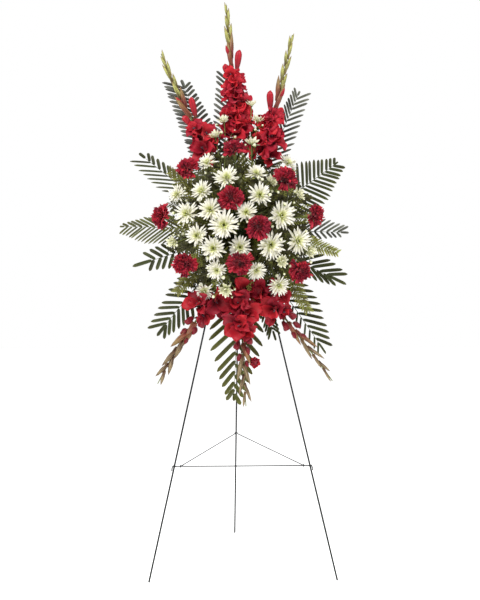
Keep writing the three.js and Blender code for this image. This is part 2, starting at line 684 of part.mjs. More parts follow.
// Rows of a head, as a share of its radius and a height in the same share
const OPEN_HEAD = {
  petals: MUM_PETALS, notch: [0.62, 0], tip: [1, 0.1], groove: [0.4, 0.13], inner: [0.76, 0.34], middle: 0.12,
};
const HALF_OPEN_HEAD = { petals: BUD_PETALS, notch: [0.6, 0.1], tip: [1, 0.6], middle: -0.2 };

// A daisy on its branch, drawn along +Y: the branch widens into an outer row of wedge petals and, on an
// open head, a raised inner row, round a hollow middle
function daisyOnBranch(length, radius, form) {
  const points = [];
  const vertex = (across, along, angle) => {
    points.push(across * Math.cos(angle), along, -across * Math.sin(angle));
    return points.length / 3 - 1;
  };
  const ring = (count, across, along, turn) => Array.from({ length: count }, (_, i) =>
    vertex(across, along, (2 * Math.PI * (i + turn)) / count));
  const row = ([share, height], turn) => ring(form.petals, share * radius, length + height * radius, turn);
  const faces = [];
  const root = vertex(0, 0, 0);
  const stations = [0, length * 0.55, length - 0.16 * radius];
  const branch = stations.map((along) => ring(BRANCH_SIDES, BRANCH_RADIUS, along, 0.5));
  for (let i = 0; i < BRANCH_SIDES; i += 1) {
    const next = (i + 1) % BRANCH_SIDES;
    faces.push(root, branch[0][next], branch[0][i]);
    for (let k = 1; k < stations.length; k += 1) {
      faces.push(branch[k - 1][i], branch[k - 1][next], branch[k][next]);
      faces.push(branch[k - 1][i], branch[k][next], branch[k][i]);
    }
  }
  const notch = row(form.notch, 0);
  const tip = row(form.tip, 0.5);
  const groove = form.groove ? row(form.groove, 0.5) : [];
  const inner = form.inner ? row(form.inner, 1) : [];
  const middle = vertex(0, length + form.middle * radius, 0);
  const end = branch.at(-1);
  const perSide = form.petals / BRANCH_SIDES;
  for (let i = 0; i < form.petals; i += 1) {
    const next = (i + 1) % form.petals;
    const side = Math.floor(i / perSide);
    faces.push(end[side], notch[next], notch[i], notch[i], notch[next], tip[i]);
    if (next % perSide === 0) faces.push(end[side], end[(side + 1) % BRANCH_SIDES], notch[next]);
    if (form.groove) {
      faces.push(notch[i], tip[i], groove[i], tip[i], notch[next], groove[i]);
      faces.push(notch[next], groove[next], groove[i], groove[i], groove[next], inner[i]);
      faces.push(groove[i], inner[i], middle, inner[i], groove[next], middle);
    } else {
      faces.push(notch[i], tip[i], middle, tip[i], notch[next], middle);
    }
  }
  const geometry = new THREE.BufferGeometry();
  geometry.setAttribute('position', new THREE.BufferAttribute(new Float32Array(points), 3));
  geometry.setIndex(faces);
  return geometry;
}

function mumSpray(row, index) {
  const fork = at(...row.fork);
  const forkFacing = fork.clone().sub(at(0, 0, 20)).normalize();
  const main = new Guide(facePath(...row.entry, fork, forkFacing, 1.8), UP);
  const parts = [tube(main, [0, 25, 25 + (main.length - 25) / 2, main.length], [1.8, 1.8, 1.8, 2.2])];
  row.heads.forEach(([right, up, forward, radius], i) => {
    const place = at(right, up, forward);
    const facing = place.clone().sub(at(0, 0, -150)).normalize();
    const reach = fork.distanceTo(place);
    const leave = fork.clone().lerp(place, 0.35);
    const arrive = place.clone().addScaledVector(facing, -reach * 0.35);
    const branch = new Guide(new THREE.CubicBezierCurve3(fork, leave, arrive, place), UP);
    const form = radius < SMALL_HEAD ? HALF_OPEN_HEAD : OPEN_HEAD;
    const head = daisyOnBranch(branch.length, radius, form);
    head.rotateY((i + index) * 0.4);
    parts.push(solid(layAlong(head, branch)));
  });
  return piece(`mum_spray_${String(index + 1).padStart(2, '0')}`, join(parts), FINISH.white);
}

// The whole spray on its easel, with the origin on the floor under the middle of its box
const spray = new THREE.Group();
spray.position.copy(SPRAY_CENTRE);
spray.rotation.x = -LEAN;
spray.add(...PALMS.map(palmFrond));
spray.add(...FERNS.map(fernFrond));
spray.add(...LEAF_STEMS.map(leafStem));
spray.add(...GLADIOLI.flatMap(gladiolus));
spray.add(...CARNATIONS.map(carnation));
spray.add(...MUM_SPRAYS.map(mumSpray));
spray.add(cage(), cageTie(), foam());

const standingSpray = new THREE.Group();
standingSpray.add(...easel(), spray);
standingSpray.updateMatrixWorld(true);
const box = new THREE.Box3().setFromObject(standingSpray, true);
standingSpray.position.set(-(box.min.x + box.max.x) / 2, -(box.min.y + box.max.y) / 2, 0);

export default standingSpray;
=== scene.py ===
"""Looks of a standing flower spray on a folding wire easel.

Sizes are millimetres in the design's own frame: +X right, -Y towards the viewer, +Z up. The spray has a
frame of its own, with the middle of the foam at its origin, that leans back with the front legs. Placement
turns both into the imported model's metres.
"""
import json
import logging
import math
from collections.abc import Iterator
from dataclasses import dataclass, field, replace
from enum import Enum
from functools import lru_cache

import bpy
import numpy as np
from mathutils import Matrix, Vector

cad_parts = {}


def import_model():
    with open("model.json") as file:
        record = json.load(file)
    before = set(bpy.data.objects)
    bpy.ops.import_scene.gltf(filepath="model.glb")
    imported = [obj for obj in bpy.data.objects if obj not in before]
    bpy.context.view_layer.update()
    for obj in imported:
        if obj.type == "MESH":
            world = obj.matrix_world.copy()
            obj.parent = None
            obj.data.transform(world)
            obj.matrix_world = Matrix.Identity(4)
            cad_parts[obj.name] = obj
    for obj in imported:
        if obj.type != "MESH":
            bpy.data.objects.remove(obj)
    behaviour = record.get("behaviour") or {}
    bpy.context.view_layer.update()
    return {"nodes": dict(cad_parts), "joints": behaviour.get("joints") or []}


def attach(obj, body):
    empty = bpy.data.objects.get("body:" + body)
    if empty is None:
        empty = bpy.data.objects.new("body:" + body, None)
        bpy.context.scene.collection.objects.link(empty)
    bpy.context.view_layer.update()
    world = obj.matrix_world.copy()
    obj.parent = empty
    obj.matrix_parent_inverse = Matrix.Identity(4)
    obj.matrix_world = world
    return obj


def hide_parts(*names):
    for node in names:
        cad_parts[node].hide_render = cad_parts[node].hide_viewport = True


LOG = logging.getLogger("spray")
MM = 0.001
Rgb = tuple[float, float, float]
Spot = tuple[float, float]
Place = tuple[float, float, float]


def at(right: float, up: float, forward: float) -> np.ndarray:
    """A place given as right, up and forward of the foam's middle."""
    return np.array([right, -forward, up], float)


RIGHT, UP, FRONT = at(1, 0, 0), at(0, 1, 0), at(0, 0, 1)
# Every head faces away from this place behind the foam
HEART = at(0, 0, -150)
GOLDEN_ANGLE = math.pi * (3 - math.sqrt(5))


def unit(rows: np.ndarray) -> np.ndarray:
    """Vectors of length one, for one vector or for many in rows."""
    size = np.linalg.norm(rows, axis=-1, keepdims=True)
    return rows / np.maximum(size, 1e-9)


def lerp(start: float, end: float, share: np.ndarray) -> np.ndarray:
    """The value a share of the way from start to end."""
    return start + (end - start) * share


def bezier(corners: list[np.ndarray], steps: int = 160) -> np.ndarray:
    """Points along a cubic curve.

    Args:
        corners: The start, the two handles and the end.
        steps: How many points follow the start.

    Returns:
        The points after the start, in rows.
    """
    t = np.linspace(0, 1, steps + 1)[1:, None]
    a, b, c, d = corners
    return a * (1 - t) ** 3 + 3 * b * t * (1 - t) ** 2 + 3 * c * t * t * (1 - t) + d * t**3


# Finishes: how sharply a rim's colour sets in, how much finer relief is than the clouds of colour, how
# high it is and how far the clouds vary the roughness
RIM_POWER = 3.0
FINER = 9
RELIEF_HEIGHT = 0.4 * MM
ROUGHNESS_SPREAD = 0.2
SHEEN_ROUGHNESS = 0.4


@dataclass(frozen=True)
class Growth:
    """A petal, leaf or stem: its colour from root to tip, its rim, veins, shine and how light passes it."""

    title: str
    stops: tuple[tuple[float, Rgb], ...]
    rim: Rgb = (0.5, 0.5, 0.5)
    rim_strength: float = 0.0
    veins: float = 0.0
    vein_count: float = 9.0
    mottle: float = 0.25
    mottle_scale: float = 90.0
    tone_range: float = 0.35
    hue_range: float = 0.02
    roughness: float = 0.55
    gloss: float = 0.5
    sheen: float = 0.0
    glow: float = 0.22
    bump: float = 0.25

    def material(self) -> bpy.types.Material:
        """The node material of this finish."""
        tree = Nodes(self.title)
        along, across, tone = (tree.mark(name) for name in ("along", "across", "tone"))
        colour = tree.ramp(along, self.stops)
        edge = tree.math("POWER", tree.math("ABSOLUTE", across), RIM_POWER)
        colour = tree.mix(tree.math("MULTIPLY", edge, self.rim_strength), colour, (*self.rim, 1))
        stripe = tree.math("SINE", tree.math("MULTIPLY", across, self.vein_count * math.pi))
        groove = tree.math("MULTIPLY_ADD", stripe, 0.5 * self.veins, 1 - 0.5 * self.veins)
        cloud = tree.noise(self.mottle_scale, 4)
        shade = tree.math("MULTIPLY_ADD", cloud, 2 * self.mottle, 1 - self.mottle)
        light = tree.math("MULTIPLY_ADD", tone, self.tone_range, 1 - self.tone_range / 2)
        value = tree.math("MULTIPLY", tree.math("MULTIPLY", shade, groove), light)
        hue = tree.math("MULTIPLY_ADD", tone, self.hue_range, 0.5 - self.hue_range / 2)
        colour = tree.tint(colour, hue, value)
        relief = tree.math("MULTIPLY_ADD", stripe, self.veins, tree.noise(self.mottle_scale * FINER, 2))
        shader = tree.surface(colour, self.roughness, cloud, relief, self.bump)
        shader.inputs["Specular IOR Level"].default_value = self.gloss
        shader.inputs["Sheen Weight"].default_value = self.sheen
        shader.inputs["Sheen Roughness"].default_value = SHEEN_ROUGHNESS
        if self.glow:
            tree.pass_light(shader, colour, self.glow)
        return tree.material


@dataclass(frozen=True)
class Wire:
    """Enamelled steel wire, with the enamel rubbed thin here and there."""

    title: str
    enamel: Rgb
    steel: Rgb
    wear: float = 0.68
    wear_width: float = 0.06
    bared: float = 0.6
    patches: float = 160
    grain: float = 900
    roughness: float = 0.46
    gloss: float = 0.25
    bump: float = 0.08

    def material(self) -> bpy.types.Material:
        """The node material of this finish."""
        tree = Nodes(self.title)
        cloud = tree.noise(self.patches, 5)
        worn = tree.ramp(cloud, ((self.wear, (0, 0, 0)), (self.wear + self.wear_width, (1, 1, 1))))
        colour = tree.mix(tree.math("MULTIPLY", worn, self.bared), (*self.enamel, 1), (*self.steel, 1))
        shader = tree.surface(colour, self.roughness, cloud, tree.noise(self.grain, 2), self.bump)
        shader.inputs["Specular IOR Level"].default_value = self.gloss
        return tree.material


@dataclass(frozen=True)
class Moulded:
    """Moulded plastic, or with pores the wet foam that it holds."""

    title: str
    colour: Rgb
    dark: Rgb
    scale: float
    roughness: float
    bump: float
    porous: bool = False
    pores: float = 6
    grain: float = 8

    def material(self) -> bpy.types.Material:
        """The node material of this finish."""
        tree = Nodes(self.title)
        cloud = tree.noise(self.scale, 3)
        relief = tree.noise(self.scale * self.grain, 2)
        if self.porous:
            relief = tree.cells(self.scale * self.pores)
        # The dark colour sets in where the clouds are low, a random mottle, and on the foam also in its
        # pores, where it is painted shade
        colour = tree.mix(tree.math("MULTIPLY", cloud, relief), (*self.dark, 1), (*self.colour, 1))
        tree.surface(colour, self.roughness, cloud, relief, self.bump)
        return tree.material


class Nodes:
    """One material's node tree, with a short call for each kind of node it uses."""

    def __init__(self, title: str) -> None:
        """Starts an empty tree.

        Args:
            title: The material's name.
        """
        self.material = bpy.data.materials.new(title)
        self.material.use_nodes = True
        self.tree = self.material.node_tree
        self.tree.nodes.clear()
        self.output = self.node("OutputMaterial")
        self.place = self.node("TexCoord").outputs["Object"]

    def put(self, socket: bpy.types.NodeSocket, value: object) -> None:
        """Links or sets a socket.

        Args:
            socket: The socket.
            value: The socket that it is linked to, or what it is set to.
        """
        if isinstance(value, bpy.types.NodeSocket):
            self.tree.links.new(value, socket)
        else:
            socket.default_value = value

    def node(self, kind: str, *values: object, **named: object) -> bpy.types.ShaderNode:
        """Adds a node.

        Args:
            kind: Its type, as it goes on after ShaderNode.
            values: What its first inputs are set or linked to.
            named: What other inputs are set or linked to.

        Returns:
            The node.
        """
        node = self.tree.nodes.new(f"ShaderNode{kind}")
        for socket, value in zip(node.inputs, values):
            self.put(socket, value)
        for name, value in named.items():
            self.put(node.inputs[name], value)
        return node

    def mark(self, name: str) -> bpy.types.NodeSocket:
        """A number that the mesh holds at each point."""
        node = self.node("Attribute")
        node.attribute_name = name
        return node.outputs["Fac"]

    def math(self, kind: str, *values: object) -> bpy.types.NodeSocket:
        """The result of a sum on numbers or sockets."""
        node = self.node("Math", *values)
        node.operation = kind
        return node.outputs[0]

    def noise(self, scale: float, detail: float) -> bpy.types.NodeSocket:
        """Soft clouds, at so many to the metre."""
        return self.node("TexNoise", Vector=self.place, Scale=scale, Detail=detail).outputs["Fac"]

    def cells(self, scale: float) -> bpy.types.NodeSocket:
        """Pores, at so many to the metre."""
        return self.node("TexVoronoi", Vector=self.place, Scale=scale).outputs["Distance"]

    def ramp(self, value: object, stops: tuple[tuple[float, Rgb], ...]) -> bpy.types.NodeSocket:
        """A colour that runs through stops.

        Args:
            value: The socket or number that runs from 0 to 1.
            stops: Places from 0 to 1 with their colours.

        Returns:
            The colour's socket.
        """
        node = self.node("ValToRGB", value)
        band = node.color_ramp
        while len(band.elements) < len(stops):
            band.elements.new(0.5)
        for element, (place, colour) in zip(band.elements, stops):
            element.position = place
            element.color = (*colour, 1)
        return node.outputs["Color"]

    def mix(self, share: object, low: object, high: object) -> bpy.types.NodeSocket:
        """A colour between two.

        Args:
            share: How far it is from low to high.
            low: The first colour.
            high: The second colour.

        Returns:
            The colour's socket.
        """
        node = self.node("Mix", share)
        node.data_type = "RGBA"
        self.put(node.inputs[6], low)
        self.put(node.inputs[7], high)
        return node.outputs[2]

    def tint(self, colour: object, hue: object, value: object) -> bpy.types.NodeSocket:
        """A colour turned in hue and scaled in value."""
        return self.node("HueSaturation", Hue=hue, Value=value, Color=colour).outputs["Color"]

    def surface(
        self, colour: object, roughness: float, cloud: object, relief: object, bump: float
    ) -> bpy.types.ShaderNode:
        """The main shader, linked to the output.

        Args:
            colour: The colour's socket.
            roughness: The middle of the roughness, which the clouds vary.
            cloud: The socket that varies the roughness.
            relief: The socket that gives the fine relief.
            bump: How strong the relief is.

        Returns:
            The shader node.
        """
        raised = self.node("Bump", Strength=bump, Distance=RELIEF_HEIGHT, Height=relief)
        low = roughness - ROUGHNESS_SPREAD / 2
        rough = self.math("MULTIPLY_ADD", cloud, ROUGHNESS_SPREAD, low)
        shader = self.node("BsdfPrincipled", colour, Roughness=rough, Normal=raised.outputs["Normal"])
        self.put(self.output.inputs["Surface"], shader.outputs[0])
        return shader

    def pass_light(self, shader: bpy.types.ShaderNode, colour: object, share: float) -> None:
        """Lets a share of the light through a thin blade."""
        through = self.node("BsdfTranslucent", Color=colour)
        blend = self.node("MixShader", share, shader.outputs[0], through.outputs[0])
        self.put(self.output.inputs["Surface"], blend.outputs[0])


class Finish(Enum):
    """Every finish of the spray and its easel."""

    WIRE = Wire("easel enamel", (0.007, 0.009, 0.009), (0.1, 0.11, 0.11))
    CAGE = Moulded("cage plastic", (0.035, 0.1, 0.032), (0.018, 0.05, 0.016), 40, 0.45, 0.1)
    # The foam's dark colour fills its pores as painted shade
    FOAM = Moulded("wet foam", (0.075, 0.13, 0.04), (0.022, 0.042, 0.012), 120, 0.9, 0.8, True)
    # The near-black stops at the petals' roots are painted shade deep in the floret's throat
    SCARLET = Growth(
        "gladiolus petal",
        ((0, (0.05, 0.001, 0.006)), (0.28, (0.2, 0.001, 0.009)), (0.6, (0.42, 0.004, 0.017)),
         (1, (0.54, 0.013, 0.034))),
        rim=(0.64, 0.024, 0.05), rim_strength=0.5, veins=0.18, vein_count=11, mottle=0.2,
        gloss=0.3, roughness=0.55, sheen=0.08, glow=0.2, tone_range=0.5, hue_range=0.006)
    # The scarlet petal darkened as painted shade, for the spikes below the foam that the light from above
    # reaches less
    SHADED_SCARLET = replace(
        SCARLET, title="scarlet petal with painted shade", rim=(0.54, 0.016, 0.038), sheen=0.05, glow=0.18,
        tone_range=0.6, stops=(
            (0, (0.04, 0.001, 0.005)), (0.28, (0.15, 0.001, 0.007)), (0.6, (0.33, 0.004, 0.014)),
            (1, (0.44, 0.01, 0.027))))
    SCARLET_BUD = Growth(
        "gladiolus bud",
        ((0, (0.16, 0.08, 0.03)), (0.15, (0.24, 0.004, 0.012)), (1, (0.4, 0.002, 0.014))),
        veins=0.25, vein_count=6, gloss=0.3, roughness=0.45, sheen=0.1, glow=0.06, hue_range=0.006)
    # The scarlet bud darkened as painted shade, for the spikes below the foam
    SHADED_SCARLET_BUD = replace(
        SCARLET_BUD, title="scarlet bud with painted shade",
        stops=((0, (0.1, 0.05, 0.02)), (0.15, (0.12, 0.004, 0.009)), (1, (0.21, 0.004, 0.014))))
    # The near-black stop at the petals' roots is painted shade in the heart of the head
    CRIMSON = Growth(
        "carnation petal",
        ((0, (0.06, 0.001, 0.005)), (0.5, (0.18, 0.003, 0.012)), (1, (0.37, 0.009, 0.03))),
        rim=(0.62, 0.03, 0.065), rim_strength=0.5, mottle=0.25, gloss=0.3, roughness=0.62, sheen=0.15,
        glow=0.14, tone_range=0.7, hue_range=0.006)
    WHITE = Growth(
        "chrysanthemum petal",
        ((0, (0.46, 0.52, 0.08)), (0.25, (0.78, 0.8, 0.36)), (0.5, (0.91, 0.89, 0.74)),
         (1, (0.95, 0.93, 0.87))),
        veins=0.1, vein_count=5, mottle=0.05, roughness=0.6, sheen=0.1, glow=0.3, tone_range=0.14,
        hue_range=0.01)
    YOUNG = replace(
        WHITE, title="inner chrysanthemum petal", mottle=0.06, glow=0.2, tone_range=0.2, stops=(
            (0, (0.36, 0.42, 0.05)), (0.35, (0.62, 0.66, 0.17)), (0.7, (0.85, 0.85, 0.52)),
            (1, (0.93, 0.91, 0.76))))
    CREAM = Growth(
        "half open petal",
        ((0, (0.48, 0.56, 0.16)), (0.35, (0.82, 0.83, 0.5)), (1, (0.93, 0.91, 0.78))),
        veins=0.1, vein_count=5, mottle=0.06, roughness=0.6, glow=0.28, tone_range=0.15)
    DISC = Growth(
        "chrysanthemum disc",
        ((0, (0.13, 0.16, 0.02)), (0.4, (0.12, 0.14, 0.018)), (1, (0.09, 0.1, 0.014))),
        mottle=0.2, roughness=0.75, glow=0, tone_range=0.4)
    POLLEN = replace(
        DISC, title="yellow disc floret",
        stops=((0, (0.3, 0.34, 0.03)), (0.4, (0.48, 0.48, 0.05)), (1, (0.72, 0.66, 0.1))))
    STAMEN = Growth(
        "stamen",
        ((0, (0.42, 0.1, 0.1)), (0.62, (0.4, 0.16, 0.15)), (0.7, (0.07, 0.02, 0.05)),
         (1, (0.16, 0.1, 0.12))),
        mottle=0.1, roughness=0.6, glow=0)
    SPIKE = Growth(
        "gladiolus bract",
        ((0, (0.14, 0.08, 0.04)), (0.25, (0.2, 0.2, 0.05)), (0.7, (0.46, 0.46, 0.12)),
         (1, (0.24, 0.14, 0.06))),
        rim=(0.5, 0.34, 0.2), rim_strength=0.5, veins=0.45, vein_count=8, mottle=0.4, gloss=0.35,
        roughness=0.48, glow=0.1, tone_range=1, hue_range=0.05)
    BLUSH = replace(
        SPIKE, title="reddish bract", rim=(0.4, 0.16, 0.1), roughness=0.5, hue_range=0.04, stops=(
            (0, (0.16, 0.05, 0.03)), (0.3, (0.24, 0.05, 0.035)), (0.75, (0.3, 0.2, 0.07)),
            (1, (0.24, 0.12, 0.05))))
    TAN = Growth(
        "dry bract",
        ((0, (0.1, 0.022, 0.014)), (0.3, (0.14, 0.07, 0.035)), (0.75, (0.3, 0.22, 0.11)),
         (1, (0.13, 0.06, 0.03))),
        rim=(0.5, 0.42, 0.26), rim_strength=0.4, veins=0.5, vein_count=8, mottle=0.5, gloss=0.3,
        roughness=0.55, glow=0.08, tone_range=1.1, hue_range=0.04)
    # The light rim of every palm finish is a painted highlight along the leaflets' edges
    PALM = Growth(
        "palm leaflet",
        ((0, (0.032, 0.04, 0.008)), (0.6, (0.034, 0.04, 0.008)), (1, (0.06, 0.064, 0.016))),
        rim=(0.12, 0.13, 0.04), rim_strength=0.3, veins=0.25, vein_count=5, mottle=0.25, gloss=0.22,
        roughness=0.5, glow=0.1, bump=0.35, tone_range=0.6)
    GREY_PALM = replace(
        PALM, title="grey palm leaflet", rim=(0.18, 0.18, 0.14), veins=0.3, gloss=0.3, roughness=0.42,
        tone_range=0.9,
        stops=((0, (0.03, 0.032, 0.018)), (0.6, (0.036, 0.038, 0.024)), (1, (0.085, 0.085, 0.065))))
    # The grey palm made lighter in colour as painted highlight on glossy leaflets; its gloss and lower
    # roughness add real shine as well
    PALM_WITH_PAINTED_HIGHLIGHT = replace(
        GREY_PALM, title="glossy palm leaflet with painted highlight", rim=(0.26, 0.26, 0.21), rim_strength=0.35, mottle=0.3,
        gloss=0.35, roughness=0.4, tone_range=1.1,
        stops=((0, (0.045, 0.048, 0.03)), (0.6, (0.07, 0.073, 0.052)), (1, (0.15, 0.15, 0.12))))
    OLIVE = replace(
        PALM, title="olive palm leaflet", rim=(0.18, 0.19, 0.06), roughness=0.45, glow=0.15,
        stops=((0, (0.06, 0.066, 0.011)), (0.6, (0.072, 0.077, 0.013)), (1, (0.115, 0.114, 0.026))))
    FERN = Growth(
        "fern leaflet",
        ((0, (0.13, 0.14, 0.018)), (0.6, (0.27, 0.28, 0.045)), (1, (0.46, 0.46, 0.12))),
        rim=(0.48, 0.5, 0.18), rim_strength=0.35, veins=0.2, vein_count=3, mottle=0.25, gloss=0.25,
        roughness=0.5, glow=0.2, tone_range=0.7)
    LEAF = Growth(
        "dark leaf",
        ((0, (0.03, 0.027, 0.007)), (1, (0.082, 0.078, 0.018))),
        rim=(0.17, 0.18, 0.05), rim_strength=0.35, veins=0.3, vein_count=7, mottle=0.3, gloss=0.25,
        roughness=0.48, glow=0.12, bump=0.4, tone_range=0.9, hue_range=0.03)
    MOSS = replace(
        LEAF, title="olive leaf", rim=(0.32, 0.33, 0.1), roughness=0.5, glow=0.15, tone_range=0.7,
        stops=((0, (0.085, 0.083, 0.014)), (1, (0.26, 0.25, 0.05))))
    STEM = Growth(
        "green stem",
        ((0, (0.08, 0.1, 0.022)), (1, (0.16, 0.18, 0.045))),
        veins=0.2, vein_count=6, mottle=0.25, gloss=0.3, roughness=0.5, glow=0)


# Mesh drafts: how far out of step a petal's two rims wave, in radians, how far a bar's end bulges as a
# share of its radius, and the slope past which a run counts as upright
OFFBEAT = 1.3
END_BULGE = 0.3
UPRIGHT = 0.9


@dataclass
class Stand:
    """Where blades start and how they lie, one row for each blade: along, across and facing are unit rows."""

    origin: np.ndarray
    along: np.ndarray
    facing: np.ndarray

    def __post_init__(self) -> None:
        """Squares the facing rows to the along rows."""
        self.origin, self.along, self.facing = (np.atleast_2d(rows) for rows in (
            self.origin, self.along, self.facing))
        self.along = unit(self.along)
        self.across = unit(np.cross(self.along, self.facing))
        self.facing = np.cross(self.across, self.along)

    def spread(self, grid: np.ndarray) -> np.ndarray:
        """Places grids drawn as across, along and facing, one for each row."""
        rows = [rows[:, None, None, :] for rows in (self.across, self.along, self.facing)]
        return self.origin[:, None, None, :] + sum(grid[..., i, None] * rows[i] for i in range(3))


@dataclass(frozen=True)
class Cut:
    """How one kind of petal or leaflet is cut and curved."""

    outline: tuple[Spot, ...]
    steps: int = 6
    sides: int = 4
    thickness: float = 0.5
    cup: Spot = (0.2, 0.2)
    keel: float = 0.0
    flick: float = 0.0
    flounce: float = 0.0
    flounces: float = 3.0
    ripple: float = 0.0
    ripples: float = 2.5
    teeth: float = 0.0
    lobes: float = 0.0

    def scaled(self, size: float) -> "Cut":
        """The same cut with waves for a smaller or larger petal."""
        return replace(self, flounce=self.flounce * size, ripple=self.ripple * size)

    def grid(
        self, length: np.ndarray, half: np.ndarray, lift: np.ndarray, curl: np.ndarray,
        twist: np.ndarray, phase: np.ndarray,
    ) -> np.ndarray:
        """The middle surface of each blade.

        Args:
            length: Millimetres from root to tip, one for each blade, as all that follow.
            half: Half the width at its widest.
            lift: The angle towards the facing side at the root.
            curl: How much that angle grows by the tip.
            twist: The turn about the rib by the tip.
            phase: Where its waves start.

        Returns:
            Rows of blades by steps by sides, as across, along and facing.
        """
        s = np.linspace(0, 1, self.steps + 1)
        v = np.linspace(-1, 1, self.sides + 1)
        angle = lift[:, None] + curl[:, None] * s + self.flick * s**3
        middle = (angle[:, 1:] + angle[:, :-1]) / 2
        step = length[:, None] / self.steps
        start = np.zeros((len(length), 1))
        run = np.hstack([start, np.cumsum(np.cos(middle) * step, 1)])[..., None]
        rise = np.hstack([start, np.cumsum(np.sin(middle) * step, 1)])[..., None]
        wide = half[:, None] * np.interp(s, *zip(*self.outline))
        wide = (wide * (1 - self.lobes * (np.arange(self.steps + 1) % 2)))[..., None]
        hollow = np.interp(s, (0, 1), self.cup)[:, None]
        shift = phase[:, None, None]
        offbeat = np.sign(v) * OFFBEAT
        depth = wide * (hollow * v**2 + self.keel * np.abs(v))
        depth = depth + self.flounce * (s**2)[:, None] * np.sin(self.flounces * math.pi * v + shift)
        edge = (s[:, None] * v**2) * np.sin(self.ripples * 2 * math.pi * s[:, None] + shift + offbeat)
        depth = depth + self.ripple * edge
        roll = twist[:, None, None] * s[:, None]
        across = v * wide * np.cos(roll) - depth * np.sin(roll)
        depth = v * wide * np.sin(roll) + depth * np.cos(roll)
        notch = self.teeth * (s**6)[:, None] * (np.arange(self.sides + 1) % 2)
        turn = angle[..., None]
        along = run - np.sin(turn) * depth - np.cos(turn) * notch
        facing = rise + np.cos(turn) * depth - np.sin(turn) * notch
        return np.stack([across + 0 * along, along, facing], -1)


@lru_cache
def shell(rows: int, columns: int) -> tuple[np.ndarray, np.ndarray]:
    """The faces of a closed thin blade whose two sides share their rim.

    Args:
        rows: Points along the blade.
        columns: Points across it.

    Returns:
        The faces as rows of four, and which points of the grid the back side adds.
    """
    front = np.arange(rows * columns).reshape(rows, columns)
    back = front.copy()
    inside = front[1:-1, 1:-1].ravel()
    back[1:-1, 1:-1] = (rows * columns + np.arange(inside.size)).reshape(rows - 2, columns - 2)

    def quads(grid: np.ndarray) -> np.ndarray:
        """Faces between neighbouring points of a grid."""
        corners = (grid[:-1, :-1], grid[:-1, 1:], grid[1:, 1:], grid[1:, :-1])
        return np.stack([corner.ravel() for corner in corners], 1)

    return np.vstack([quads(front), quads(back)[:, ::-1]]), inside


